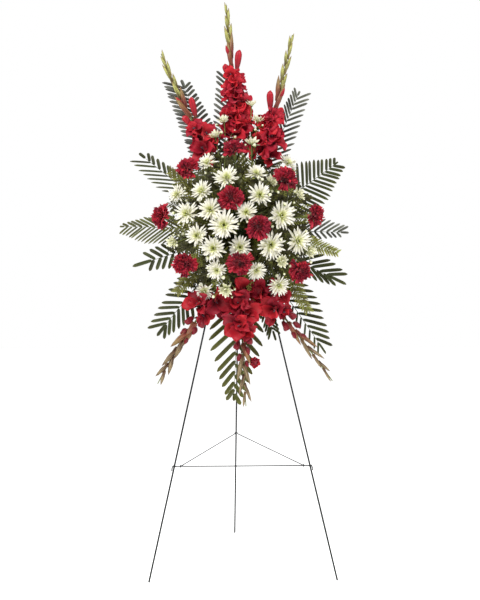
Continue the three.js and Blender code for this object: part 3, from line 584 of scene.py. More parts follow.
@dataclass
class Draft:
    """The points and faces of one piece as they gather, with the marks that its finishes read.

    chance is the seeded source of the small differences between its leaves and petals.
    """

    chance: np.random.Generator = field(default_factory=lambda: np.random.default_rng(0))
    points: list[np.ndarray] = field(default_factory=list)
    marks: list[np.ndarray] = field(default_factory=list)
    faces: list[list[int]] = field(default_factory=list)
    slots: list[int] = field(default_factory=list)
    finishes: list[Finish] = field(default_factory=list)
    count: int = 0

    def add(self, points: np.ndarray, faces: np.ndarray, marks: np.ndarray, finish: Finish) -> None:
        """Adds a part.

        Args:
            points: Its points in rows.
            faces: Its faces, as rows of point numbers.
            marks: Along, across and tone of each point, in rows.
            finish: What it is made of.
        """
        if finish not in self.finishes:
            self.finishes.append(finish)
        self.points.append(points)
        self.marks.append(marks)
        self.faces.extend((faces + self.count).tolist())
        self.slots.extend([self.finishes.index(finish)] * len(faces))
        self.count += len(points)

    def blades(
        self, stand: Stand, cut: Cut, finish: Finish, length: float, half: float, lift: float = 0.0,
        curl: float = 0.0, twist: float = 0.0, loose: float = 0.1,
    ) -> None:
        """Adds closed thin blades, one for each row of the stand.

        Args:
            stand: Where they start and how they lie.
            cut: Their form.
            finish: Their finish.
            length: Their length, one number or one for each.
            half: Half their width.
            lift: Degrees towards the facing side at the root.
            curl: Degrees that this grows by the tip.
            twist: The most degrees they turn about the rib.
            loose: How much they differ, as a share of their size and in radians.
        """
        count, chance = len(stand.origin), self.chance
        vary = chance.uniform(-1, 1, (4, count))
        rows = np.ones(count)
        grid = cut.grid(
            length * rows * (1 + 0.5 * loose * vary[0]), half * rows * (1 + 0.5 * loose * vary[1]),
            np.radians(lift * rows) + loose * vary[2], np.radians(curl * rows) + loose * vary[3],
            np.radians(twist) * chance.uniform(-1, 1, count), chance.uniform(0, 2 * math.pi, count))
        sheet = stand.spread(grid)
        steps, sides = sheet.shape[1:3]
        normal = unit(np.cross(np.gradient(sheet, axis=2), np.gradient(sheet, axis=1)))
        faces, inside = shell(steps, sides)
        half_thick = cut.thickness / 2
        flat, lean = sheet.reshape(count, -1, 3), normal.reshape(count, -1, 3)
        front = flat.copy()
        front[:, inside] += lean[:, inside] * half_thick
        solid = np.concatenate([front, flat[:, inside] - lean[:, inside] * half_thick], 1)
        s = np.repeat(np.linspace(0, 1, steps), sides)
        v = np.tile(np.linspace(-1, 1, sides), steps)
        mark = np.stack([s, v, 0 * s], 1)
        mark = np.concatenate([mark, mark[inside]])[None].repeat(count, 0)
        mark[..., 2] = chance.uniform(0, 1, count)[:, None]
        size = solid.shape[1]
        every = faces[None] + (np.arange(count) * size)[:, None, None]
        self.add(solid.reshape(-1, 3), every.reshape(-1, 4), mark.reshape(-1, 3), finish)

    def tube(
        self, points: np.ndarray, radii: np.ndarray, finish: Finish, sides: int = 8, tone: float = 0.5,
        ring: bool = False,
    ) -> None:
        """Adds a round bar of changing radius, with closed ends or as a closed ring.

        Args:
            points: Its middle line.
            radii: Its radius at each point, one number, one for each point or one for each point and side.
            finish: Its finish.
            sides: Points round it.
            tone: Its tone, from 0 to 1.
            ring: True if its end joins its start.
        """
        points = np.asarray(points, float)
        count = len(points)
        radii = np.asarray(radii, float)
        radii = np.broadcast_to(radii[:, None] if radii.ndim == 1 else radii, (count, sides))
        ahead = np.roll(points, -1, 0) - np.roll(points, 1, 0) if ring else np.gradient(points, axis=0)
        ahead = unit(ahead)
        spare = UP if abs(ahead[0] @ UP) < UPRIGHT else RIGHT
        side = unit(np.cross(ahead[0], spare))
        normals = []
        for line in ahead:
            side = unit(side - line * (side @ line))
            normals.append(side)
        first = np.array(normals)
        second = np.cross(ahead, first)
        turn = np.arange(sides) * 2 * math.pi / sides
        out = first[:, None] * np.cos(turn)[:, None] + second[:, None] * np.sin(turn)[:, None]
        body = points[:, None] + out * radii[..., None]
        along = np.repeat(np.linspace(0, 1, count), sides)
        mark = np.stack([along, np.tile(turn / math.pi - 1, count), np.full(count * sides, tone)], 1)
        index = np.arange(count * sides).reshape(count, sides)
        nearer = index if ring else index[:-1]
        further = np.roll(index, -1, 0) if ring else index[1:]
        corners = (nearer, np.roll(nearer, -1, 1), np.roll(further, -1, 1), further)
        quads = np.stack([corner.ravel() for corner in corners], 1)
        body = body.reshape(-1, 3)
        if ring:
            self.add(body, quads, mark, finish)
            return
        root_end = points[0] - ahead[0] * radii[0, 0] * END_BULGE
        far_end = points[-1] + ahead[-1] * radii[-1, 0] * END_BULGE
        mark = np.vstack([mark, [[0, 0, tone], [1, 0, tone]]])
        low = self.count + len(body)
        index = index + self.count
        self.add(np.vstack([body, root_end, far_end]), quads, mark, finish)
        caps = [[low, b, a] for a, b in zip(index[0].tolist(), np.roll(index[0], -1).tolist())]
        caps += [[low + 1, a, b] for a, b in zip(index[-1].tolist(), np.roll(index[-1], -1).tolist())]
        self.faces.extend(caps)
        self.slots.extend([self.finishes.index(finish)] * len(caps))


class Route:
    """A smooth run in space that keeps one side towards its front."""

    def __init__(self, points: np.ndarray, front: np.ndarray = FRONT) -> None:
        """Measures the run.

        Args:
            points: Places close together along it.
            front: The direction that its facing side keeps to.
        """
        self.points = np.asarray(points, float)
        steps = np.linalg.norm(np.diff(self.points, axis=0), axis=1)
        self.places = np.concatenate([[0], np.cumsum(steps)])
        self.length = float(self.places[-1])
        self.tangents = unit(np.gradient(self.points, self.places, axis=0))
        self.front = front

    def stand(self, distances: np.ndarray) -> Stand:
        """Where the route is and how it lies.

        Args:
            distances: How far from its root.

        Returns:
            The stand, with a row for each distance.
        """
        distances = np.atleast_1d(np.asarray(distances, float))
        held = np.clip(distances, 0, self.length)
        tangent = unit(np.stack([np.interp(held, self.places, row) for row in self.tangents.T], 1))
        origin = np.stack([np.interp(held, self.places, row) for row in self.points.T], 1)
        origin = origin + tangent * (distances - held)[:, None]
        return Stand(origin, tangent, np.broadcast_to(self.front, tangent.shape))


# How far a stem runs straight out of its hole
MOUTH = 3


def planted(entry: np.ndarray, inward: np.ndarray, depth: float, *rest: np.ndarray) -> np.ndarray:
    """The points of a stem that stands in a hole of the foam.

    Args:
        entry: Where the stem enters the foam.
        inward: The hole's direction.
        depth: How deep the stem goes.
        rest: The two handles and the end of its curve outside.

    Returns:
        Points from the root to the tip.
    """
    mouth = entry - inward * MOUTH
    return np.vstack([entry + inward * depth, mouth, bezier([mouth, *rest])])


@dataclass(frozen=True)
class Foam:
    """The block of wet foam that every stem stands in.

    hole is how deep a stem goes. The other shares are of a stem's reach: they place the handles of the
    curve that it takes from the front face or from the rim.
    """

    width: float = 110
    depth: float = 80
    height: float = 230
    hole: float = 22
    face_handles: Spot = (0.2, 0.35)
    rim_handles: Spot = (0.3, 0.65)

    @property
    def rooted(self) -> float:
        """The length of a stem from its root to just outside the block."""
        return self.hole + MOUTH

    def face_stem(self, entry: Spot, tip: np.ndarray, facing: np.ndarray) -> np.ndarray:
        """A stem from the front face to a head.

        Args:
            entry: Right and up of its hole.
            tip: Where it ends.
            facing: The direction that it ends in.

        Returns:
            Points from the root to the tip.
        """
        start = at(*entry, self.depth / 2)
        reach = np.linalg.norm(tip - start)
        leave = start + FRONT * (MOUTH + reach * self.face_handles[0])
        arrive = tip - facing * reach * self.face_handles[1]
        return planted(start, -FRONT, self.hole, leave, arrive, tip)

    def rim_stem(self, tip: np.ndarray, forward: float, bow: float) -> np.ndarray:
        """A stem from the edge of the block to a tip at the rim of the spray.

        Args:
            tip: Where it ends.
            forward: How far forward its hole is.
            bow: How far forward it bows on the way.

        Returns:
            Points from the root to the tip.
        """
        direction = unit(np.array([tip[0], 0, tip[2]]))
        across = self.width / 2 / abs(direction[0] or 1e-6)
        upward = self.height / 2 / abs(direction[2] or 1e-6)
        entry = direction * min(across, upward) + FRONT * forward
        reach = math.hypot(tip[0] - entry[0], tip[2] - entry[2])
        leave = entry + direction * reach * self.rim_handles[0]
        arrive = entry + direction * reach * self.rim_handles[1]
        arrive[1] = -bow
        return planted(entry, -direction, self.hole, leave, arrive, tip)


# Placing and making pieces: the angle past which an edge between two faces shows sharp
SHARP = math.radians(55)


@dataclass(frozen=True)
class EaselSizes:
    """The easel's wires, pivot, feet and heights.

    foot_round gives how far from a foot's end, and with what share of the wire's radius, its rounding
    passes. pin_head gives how far past the eyes, and with what radius, the pin's head passes.
    """

    leg: float = 2.5
    cross: float = 1.6
    stay: float = 1.4
    gap: float = 0.4
    apex: Place = (0, -65, 1160)
    front_foot: Place = (264, -315, 0)
    rear_foot: Place = (0, 315, 0)
    cross_height: float = 314
    cross_sag: float = 0.4
    hook_height: float = 353
    hook_arm: float = 12
    eye_gap: float = 1.5
    eye_pitch: float = 5.4
    stay_spread: float = 176
    tail: Place = (3, -13, 2)
    tail_bow: float = 0.8
    foot_lift: float = 1.4
    foot_start: float = 4
    foot_round: tuple[Spot, ...] = ((2.0, 1.0), (0.8, 0.92), (0.2, 0.7))
    pin_head: tuple[Spot, ...] = ((2, 3.6), (1.7, 5.0), (0.4, 5.4), (0, 5.2))
    pin_step: float = 0.1


@dataclass(frozen=True)
class Placement:
    """Turns the design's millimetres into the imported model's metres."""

    shift: np.ndarray
    lean: float
    centre: np.ndarray = field(default_factory=lambda: np.array([0.0, -147, 994]))

    @classmethod
    def from_frame(cls, joints: list[dict], sizes: EaselSizes) -> "Placement":
        """Reads where the easel's pivot was packed.

        Args:
            joints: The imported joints.
            sizes: The easel's sizes.

        Returns:
            The placement.
        """
        pivot = next(joint for joint in joints if joint["name"] == "rear_leg_fold")
        apex, foot = np.array(sizes.apex), np.array(sizes.front_foot)
        lean = math.atan((apex[1] - foot[1]) / apex[2])
        return cls(np.array(pivot["pos_m"]) - apex * MM, lean)

    def upright(self, points: np.ndarray) -> np.ndarray:
        """Metres for places in the easel's upright frame."""
        return points * MM + self.shift

    def leaning(self, points: np.ndarray) -> np.ndarray:
        """Metres for places in the spray's leaning frame.

        Args:
            points: The places, in rows.

        Returns:
            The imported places.
        """
        cos, sin = math.cos(self.lean), math.sin(self.lean)
        x, y, z = points.T
        turned = np.stack([x, y * cos + z * sin, z * cos - y * sin], 1)
        return self.upright(turned + self.centre)


def add_object(name: str, data: bpy.types.ID) -> bpy.types.Object:
    """A new object in the scene."""
    made = bpy.data.objects.new(name, data)
    bpy.context.scene.collection.objects.link(made)
    return made


class Workshop:
    """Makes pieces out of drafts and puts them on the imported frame."""

    def __init__(self, place: Placement) -> None:
        """Starts with no materials.

        Args:
            place: The placement of the design.
        """
        self.place = place
        self.materials: dict[Finish, bpy.types.Material] = {}
        self.faces = 0

    def material(self, finish: Finish) -> bpy.types.Material:
        """The one material of a finish."""
        if finish not in self.materials:
            self.materials[finish] = finish.value.material()
        return self.materials[finish]

    def piece(
        self, name: str, draft: Draft, slot: str, nodes: tuple[str, ...] = (), body: str = "front_frame",
        leaning: bool = True,
    ) -> bpy.types.Object:
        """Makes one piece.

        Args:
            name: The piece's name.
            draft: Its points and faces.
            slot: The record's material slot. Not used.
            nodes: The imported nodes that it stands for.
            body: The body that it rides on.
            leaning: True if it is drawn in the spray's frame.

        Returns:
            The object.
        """
        mesh = bpy.data.meshes.new(name)
        points = np.vstack(draft.points)
        places = self.place.leaning(points) if leaning else self.place.upright(points)
        mesh.from_pydata(places, [], draft.faces)
        marks = np.vstack(draft.marks)
        for column, title in enumerate(("along", "across", "tone")):
            layer = mesh.attributes.new(title, "FLOAT", "POINT")
            layer.data.foreach_set("value", np.ascontiguousarray(marks[:, column], np.float32))
        for finish in draft.finishes:
            mesh.materials.append(self.material(finish))
        mesh.polygons.foreach_set("material_index", np.array(draft.slots, np.int32))
        mesh.shade_smooth()
        mesh.set_sharp_from_angle(angle=SHARP)
        mesh.update()
        made = add_object(name, mesh)
        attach(made, body)
        if nodes:
            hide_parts(*nodes)
        self.faces += len(draft.faces)
        LOG.info("%s: %d faces", name, len(draft.faces))
        return made


# Easel


@dataclass
class Easel:
    """The folding tripod of enamelled wire."""

    shop: Workshop
    sizes: EaselSizes = field(default_factory=EaselSizes)
    leg_sides: int = 16
    wire_sides: int = 12
    pin_sides: int = 24
    eye_sides: int = 10
    eye_steps: int = 32

    def leg_point(self, side: float, height: float) -> np.ndarray:
        """A place on the line of a front leg.

        Args:
            side: -1 for the left leg, 1 for the right one and 0 for midway between them.
            height: How high it is.

        Returns:
            The place.
        """
        apex, foot = np.array(self.sizes.apex), np.array(self.sizes.front_foot)
        share = (apex[2] - height) / apex[2]
        across = side * lerp(self.sizes.eye_pitch, foot[0], share)
        return np.array([across, lerp(apex[1], foot[1], share), height])

    def eye(
        self, draft: Draft, centre: np.ndarray, axis: np.ndarray, inner: float, wire: float,
        opening: np.ndarray,
    ) -> None:
        """Adds a ring of wire.

        Args:
            draft: Where it goes.
            centre: Its middle.
            axis: The direction that it turns about.
            inner: Its inner radius.
            wire: The wire's radius.
            opening: A direction in its plane.
        """
        first = unit(opening - axis * (opening @ axis))
        second = np.cross(axis, first)
        turn = (np.arange(self.eye_steps) * 2 * math.pi / self.eye_steps)[:, None]
        points = centre + (first * np.cos(turn) + second * np.sin(turn)) * (inner + wire)
        self.wire(draft, points, wire, self.eye_sides, ring=True)

    def wire(
        self, draft: Draft, points: np.ndarray, radius: float, sides: int = 0, ring: bool = False,
    ) -> None:
        """Adds a wire of one radius along points, with as many sides as thin wires have unless given."""
        draft.tube(points, np.full(len(points), radius), Finish.WIRE, sides or self.wire_sides, ring=ring)

    def leg(self, name: str, foot: np.ndarray, eye_across: float, body: str) -> None:
        """Makes one leg with its eye and its rounded foot.

        Args:
            name: The name of the piece and its node.
            foot: Where it stands.
            eye_across: How far right its eye is.
            body: The body that it rides on.
        """
        sizes = self.sizes
        draft = Draft()
        top = np.array([eye_across, *sizes.apex[1:]])
        line = unit(foot - top)
        inner = sizes.leg + sizes.eye_gap
        start = top + line * (inner + sizes.leg)
        reach = np.linalg.norm(foot - start) - sizes.foot_lift
        before_end, shares = np.array(sizes.foot_round).T
        places = np.concatenate([np.linspace(0, reach - sizes.foot_start, 24), reach - before_end])
        radii = np.full(len(places), sizes.leg)
        radii[-len(shares):] *= shares
        draft.tube(start + line * places[:, None], radii, Finish.WIRE, self.leg_sides)
        self.eye(draft, top, RIGHT, inner, sizes.leg, line)
        self.shop.piece(name, draft, "wire", (name,), body, leaning=False)

    def pin(self) -> None:
        """Makes the headed pin through the three eyes."""
        sizes = self.sizes
        shank, reach = sizes.leg + sizes.eye_gap - sizes.gap, sizes.eye_pitch + sizes.leg + sizes.gap
        past, radii = np.array([*sizes.pin_head, (-sizes.pin_step, shank)]).T
        half = reach + past
        across = np.concatenate([-half, half[::-1]])
        points = np.array(sizes.apex) + RIGHT * across[:, None]
        draft = Draft()
        draft.tube(points, np.concatenate([radii, radii[::-1]]), Finish.WIRE, self.pin_sides)
        self.shop.piece("apex_pin", draft, "wire", ("apex_pin",), leaning=False)

    def cross(self) -> None:
        """Makes the cross wire with its loops and tails."""
        sizes = self.sizes
        draft = Draft()
        inner = sizes.leg + sizes.gap
        inset = inner + sizes.cross
        outward, up, forward = sizes.tail
        ends = []
        for side in (-1, 1):
            centre = self.leg_point(side, sizes.cross_height)
            line = unit(self.leg_point(side, 0) - centre)
            self.eye(draft, centre, line, inner, sizes.cross, RIGHT)
            top = centre + RIGHT * side * inset
            sweep = np.linspace(0, 1, 8)[:, None]
            bow = RIGHT * side * np.sin(sweep * math.pi) * sizes.tail_bow
            bend = at(side * outward, up, forward) * sweep + bow
            self.wire(draft, top + bend, sizes.cross)
            ends.append(centre - RIGHT * side * inset)
        share = np.linspace(0, 1, 16)[:, None]
        sag = UP * np.sin(share * math.pi) * -sizes.cross_sag
        self.wire(draft, ends[0] + (ends[1] - ends[0]) * share + sag, sizes.cross)
        self.shop.piece("cross_wire", draft, "wire", ("cross_wire",), leaning=False)

    def stays(self) -> None:
        """Makes the two stays and the hook behind the rear leg."""
        sizes = self.sizes
        apex, rear = np.array(sizes.apex), np.array(sizes.rear_foot)
        hook = lerp(apex, rear, (apex[2] - sizes.hook_height) / apex[2])
        middle = self.leg_point(0, sizes.cross_height)
        line = unit(hook - middle)
        radius = sizes.leg + sizes.gap + sizes.stay
        for side, name in ((-1, "stay_left"), (1, "stay_right")):
            foot = middle + RIGHT * side * sizes.stay_spread
            end = hook - line * (sizes.hook_arm + 2 * sizes.gap) + RIGHT * side * radius
            inner = sizes.cross + sizes.gap
            along = unit(end - foot)
            start = foot + along * (inner + sizes.stay)
            share = np.linspace(0, 1, 20)[:, None]
            draft = Draft()
            self.wire(draft, start + (end - start) * share, sizes.stay)
            self.eye(draft, foot, RIGHT, inner, sizes.stay, along)
            self.shop.piece(name, draft, "wire", (name,), "stays", leaning=False)
        turn = np.linspace(0, math.pi, 17)[:, None]
        bend = hook + line * np.sin(turn) * radius - RIGHT * np.cos(turn) * radius
        left, right = (hook - line * sizes.hook_arm + RIGHT * side * radius for side in (-1, 1))
        points = np.vstack([left, lerp(left, bend[0], 0.5), bend, lerp(right, bend[-1], 0.5), right])
        draft = Draft()
        self.wire(draft, points, sizes.stay)
        self.shop.piece("stay_hook", draft, "wire", ("stay_hook",), "stays", leaning=False)

    def build(self) -> None:
        """Makes every wire of the easel."""
        foot = np.array(self.sizes.front_foot, float)
        left = foot * (-1, 1, 1)
        self.leg("easel_left_leg", left, -self.sizes.eye_pitch, "front_frame")
        self.leg("easel_right_leg", foot, self.sizes.eye_pitch, "front_frame")
        self.leg("easel_rear_leg", np.array(self.sizes.rear_foot, float), 0, "rear_leg")
        self.pin()
        self.cross()
        self.stays()


# Foliage


PALM_CUT = Cut(
    ((0, 0.55), (0.1, 0.9), (0.5, 1), (0.8, 0.96), (0.94, 0.8), (1, 0.25)), steps=9, sides=2, thickness=0.5,
    cup=(0.1, 0.05), keel=0.35)
FERN_CUT = Cut(
    ((0, 0.35), (0.15, 1), (0.5, 0.85), (0.85, 0.45), (1, 0.08)), steps=12, sides=2, thickness=0.4,
    cup=(0.1, 0.1), lobes=0.55)
LEAF_CUT = Cut(
    ((0, 0.12), (0.1, 0.45), (0.35, 0.95), (0.55, 1), (0.8, 0.62), (0.93, 0.28), (1, 0.04)), steps=8,
    sides=4, thickness=0.5, cup=(0.35, 0.1), keel=0.1, ripple=0.8, ripples=1.5)
SPRIG_CUT = Cut(
    ((0, 0.4), (0.2, 1), (0.5, 0.85), (0.8, 0.5), (1, 0.1)), steps=6, sides=2, thickness=0.4,
    cup=(0.1, 0.1), lobes=0.5)
LOBED_CUT = Cut(
    ((0, 0.1), (0.12, 0.35), (0.3, 0.85), (0.55, 1), (0.8, 0.75), (1, 0.06)), steps=12, sides=4,
    thickness=0.5, cup=(0.25, 0.05), keel=0.12, ripple=1.6, ripples=2, lobes=0.42)


@dataclass(frozen=True)
class Side:
    """One row of leaflets: how reach and lean run from its first to its last, its pitch and half width.

    With crowd the pitch runs from that share wider at the root to that share closer at the tip.
    """

    reach: Spot
    lean: Spot
    pitch: float
    half: float
    crowd: float = 0.0


@dataclass
class Frond:
    """Leaflets in two rows on a tapering rib, with one leaflet past its end.

    first and apex are the lengths of the bare stalk and of the last leaflet. neck and rib_end thin the rib,
    which runs rib_past into the last leaflet. stagger, uneven and aside say where leaflets sit on it. The
    last leaflet is apex_broad times as wide as the others, but at most apex_slim of its own length.
    """

    first: float
    apex: float
    sides: tuple[Side, Side]
    cut: Cut
    finish: Finish
    stalk: float = 2.0
    droop: float = -12
    loose: float = 0.06
    taper_from: float = 0.0
    neck: float = 0.8
    rib_end: float = 0.55
    rib_past: float = 4
    stagger: float = 0.25
    uneven: float = 0.12
    aside: float = 0.6
    lift: float = 4
    twist: float = 14
    apex_reach: float = 0.98
    apex_broad: float = 1.05
    apex_slim: float = 0.2

    def draw(self, draft: Draft, route: Route) -> None:
        """Adds the frond along a route.

        Args:
            draft: Where it goes.
            route: The run of its rib, from the root.
        """
        end = route.length - self.apex
        leafy = np.linspace(self.first, end + self.rib_past, 28)
        places = np.concatenate([np.linspace(0, self.first, 8), leafy[1:]])
        thin = (self.stalk, self.stalk * self.neck, self.rib_end)
        taper = np.interp(places, (0, self.first, end), thin)
        draft.tube(route.stand(places).origin, taper, self.finish, 8, tone=0.7)
        for turn, side in zip((1, -1), self.sides):
            start = self.first + side.pitch * (self.stagger if turn < 0 else 0.0)
            share = (np.arange(start, end, side.pitch) - start) / (end - start)
            places = lerp(start, end, share * (1 + side.crowd * (1 - share)))
            places = places + side.pitch * self.uneven * draft.chance.uniform(-1, 1, len(places))
            share = (places - self.first) / (end - self.first)
            share = np.clip((share - self.taper_from) / (1 - self.taper_from), 0, 1)
            stand = route.stand(places)
            angle = np.radians(lerp(*side.lean, share))[:, None]
            line = stand.across * turn * np.sin(angle) + stand.along * np.cos(angle)
            leaves = Stand(stand.origin + stand.across * turn * self.aside, line, stand.facing)
            draft.blades(
                leaves, self.cut, self.finish, lerp(*side.reach, share), side.half, self.lift, self.droop,
                self.twist, self.loose)
        half = min(self.sides[0].half * self.apex_broad, self.apex * self.apex_slim)
        draft.blades(route.stand(end), self.cut, self.finish, self.apex * self.apex_reach, half, loose=0)


@dataclass(frozen=True)
class PalmRow:
    """One palm frond: tip, layer, the leaflet past its rib and its right and left rows of leaflets."""

    tip: Spot
    layer: int
    apex: float
    right: Side
    left: Side
    finish: Finish = Finish.PALM


@dataclass
class PalmFronds:
    """The feathered fronds round the rim of the spray.

    They lie in two layers: each has its own hole, tip and bow forward. The stalks are bare as far as rim.
    """

    shop: Workshop
    foam: Foam
    rows: tuple[PalmRow, ...] = (
        PalmRow(
            (-177, 477), 0, 28, Side((48, 28), (70, 60), 15, 4.8), Side((70, 72), (58, 50), 13.5, 5.2),
            Finish.GREY_PALM),
        PalmRow(
            (-43, 524), 1, 22, Side((62, 28), (44, 40), 20, 4.4), Side((76, 36), (46, 42), 20, 4.4),
            Finish.GREY_PALM),
        PalmRow(
            (185, 444), 0, 18, Side((64, 50), (46, 42), 20, 4.0), Side((66, 34), (38, 32), 15, 3.7),
            Finish.PALM_WITH_PAINTED_HIGHLIGHT),
        PalmRow(
            (-303, 243), 1, 24, Side((50, 24), (38, 40), 21, 4.8), Side((86, 56), (33, 36), 22, 3.1)),
        PalmRow(
            (297, 219), 1, 14, Side((88, 34), (61, 46), 15, 4.6), Side((88, 22), (55, 50), 15, 4.4)),
        PalmRow(
            (-357, 12), 0, 14, Side((66, 16), (28, 24), 19, 3.7), Side((78, 28), (40, 40), 13.5, 2.9),
            Finish.OLIVE),
        PalmRow(
            (-319, -107), 1, 60, Side((52, 42), (51, 48), 21, 5.4), Side((48, 34), (56, 52), 21, 5.4)),
        PalmRow(
            (322, -5), 0, 26, Side((34, 18), (48, 44), 16, 3.5), Side((66, 36), (36, 30), 18, 3.6),
            Finish.PALM_WITH_PAINTED_HIGHLIGHT),
        PalmRow(
            (311, -161), 1, 60, Side((66, 48), (26, 18), 23, 4.8), Side((80, 62), (42, 28), 23, 5.3)),
        PalmRow(
            (-245, -316), 0, 40, Side((66, 56), (62, 38), 19.5, 5.0), Side((76, 42), (48, 30), 19.5, 5.0)),
        PalmRow(
            (244, -369), 0, 38, Side((34, 34), (45, 34), 22, 3.1), Side((92, 48), (52, 32), 22, 4.8)),
        PalmRow(
            (-24, -504), 1, 22, Side((106, 35), (46, 32), 33, 6.3, 0.22),
            Side((106, 35), (46, 32), 33, 6.3, 0.22), Finish.OLIVE),
        PalmRow(
            (99, -330), 0, 30, Side((42, 40), (36, 30), 13, 3.4), Side((30, 30), (45, 35), 13, 3.4)),
    )
    entry_forward: Spot = (-7, -18)
    tip_forward: Spot = (-8, -14)
    bow: Spot = (8, -26)
    rim: float = 140
    least_stalk: float = 24
    taper_from: float = 0.4
    seed: int = 100

    def build(self) -> None:
        """Makes each frond."""
        rooted = self.foam.rooted
        for index, row in enumerate(self.rows, 1):
            tip = at(*row.tip, self.tip_forward[row.layer])
            points = self.foam.rim_stem(tip, self.entry_forward[row.layer], self.bow[row.layer])
            route = Route(points)
            entry = route.stand(rooted).origin[0]
            first = rooted + max(self.least_stalk, self.rim - math.hypot(entry[0], entry[2]))
            frond = Frond(
                first, row.apex, (row.right, row.left), PALM_CUT, row.finish, taper_from=self.taper_from)
            draft = Draft(np.random.default_rng(self.seed + index))
            frond.draw(draft, route)
            slot = "olive_palm" if row.finish is Finish.OLIVE else "palm"
            name = f"palm_frond_{index:02d}"
            self.shop.piece(f"{name}_leaflets", draft, slot, (name,))


@dataclass(frozen=True)
class FernRow:
    """One fern frond: its side and height on the foam, its tip, its leaflets' reach and its finish."""

    hand: int
    up: float
    tip: Place
    reach: float
    finish: Finish = Finish.MOSS


@dataclass
class Ferns:
    """The fern fronds at the sides. The handles of each curve and its bare stalk are shares of its reach."""

    shop: Workshop
    foam: Foam
    rows: tuple[FernRow, ...] = (
        FernRow(1, -14, (285, -80, 42), 48, Finish.FERN),
        FernRow(1, -64, (196, -262, 48), 45.6),
        FernRow(-1, -66, (-196, -208, 52), 43.2),
        FernRow(-1, 60, (-214, 166, 60), 40.8),
    )
    entry_forward: float = 12
    hole: float = 20
    handles: Spot = (0.3, 0.6)
    bow: float = 12
    bare: float = 0.3
    apex: float = 10
    last_reach: float = 18
    lean: Spot = (58, 44)
    pitch: float = 8.5
    half: float = 5.0
    seed: int = 200

    def build(self) -> None:
        """Makes each frond."""
        for index, row in enumerate(self.rows, 1):
            entry, tip = at(row.hand * self.foam.width / 2, row.up, self.entry_forward), at(*row.tip)
            outward = RIGHT * row.hand
            reach = float(np.linalg.norm(tip - entry))
            leave = entry + outward * reach * self.handles[0]
            arrive = lerp(entry, tip, self.handles[1]) + FRONT * self.bow
            route = Route(planted(entry, -outward, self.hole, leave, arrive, tip))
            side = Side((row.reach, self.last_reach), self.lean, self.pitch, self.half)
            first = self.foam.rooted + reach * self.bare
            frond = Frond(
                first, self.apex, (side, side), FERN_CUT, row.finish, stalk=1.5, droop=-18, loose=0.12)
            draft = Draft(np.random.default_rng(self.seed + index))
            frond.draw(draft, route)
            name = f"fern_{index:02d}"
            self.shop.piece(f"{name}_leaflets", draft, "fern", (name,))


@dataclass
class LeafyStems:
    """The leafy stems among the heads: the hole and the tip of each, and what share of it is bare."""

    shop: Workshop
    foam: Foam
    rows: tuple[tuple[Spot, Place], ...] = (
        ((2, 39), (-2, 76, 128)),
        ((-34, 38), (-132, 34, 128)),
        ((34, 16), (88, 56, 128)),
    )
    side: Side = Side((30, 20), (50, 35), 13, 6.0)
    bare: float = 0.55
    apex: float = 12
    seed: int = 300

    def build(self) -> None:
        """Makes each stem with its leaves."""
        rooted = self.foam.rooted
        for index, (hole, place) in enumerate(self.rows, 1):
            tip = at(*place)
            route = Route(self.foam.face_stem(hole, tip, unit(tip - HEART)), RIGHT)
            frond = Frond(
                rooted + (route.length - rooted) * self.bare, self.apex, (self.side, self.side), LEAF_CUT,
                Finish.LEAF, stalk=1.5, droop=-20, loose=0.14)
            draft = Draft(np.random.default_rng(self.seed + index))
            frond.draw(draft, route)
            name = f"leaf_stem_{index:02d}"
            self.shop.piece(f"{name}_leaves", draft, "leaf", (name,))


@dataclass(frozen=True)
class Sprig:
    """One kind of filler sprig."""

    finish: Finish
    cut: Cut
    side: Side


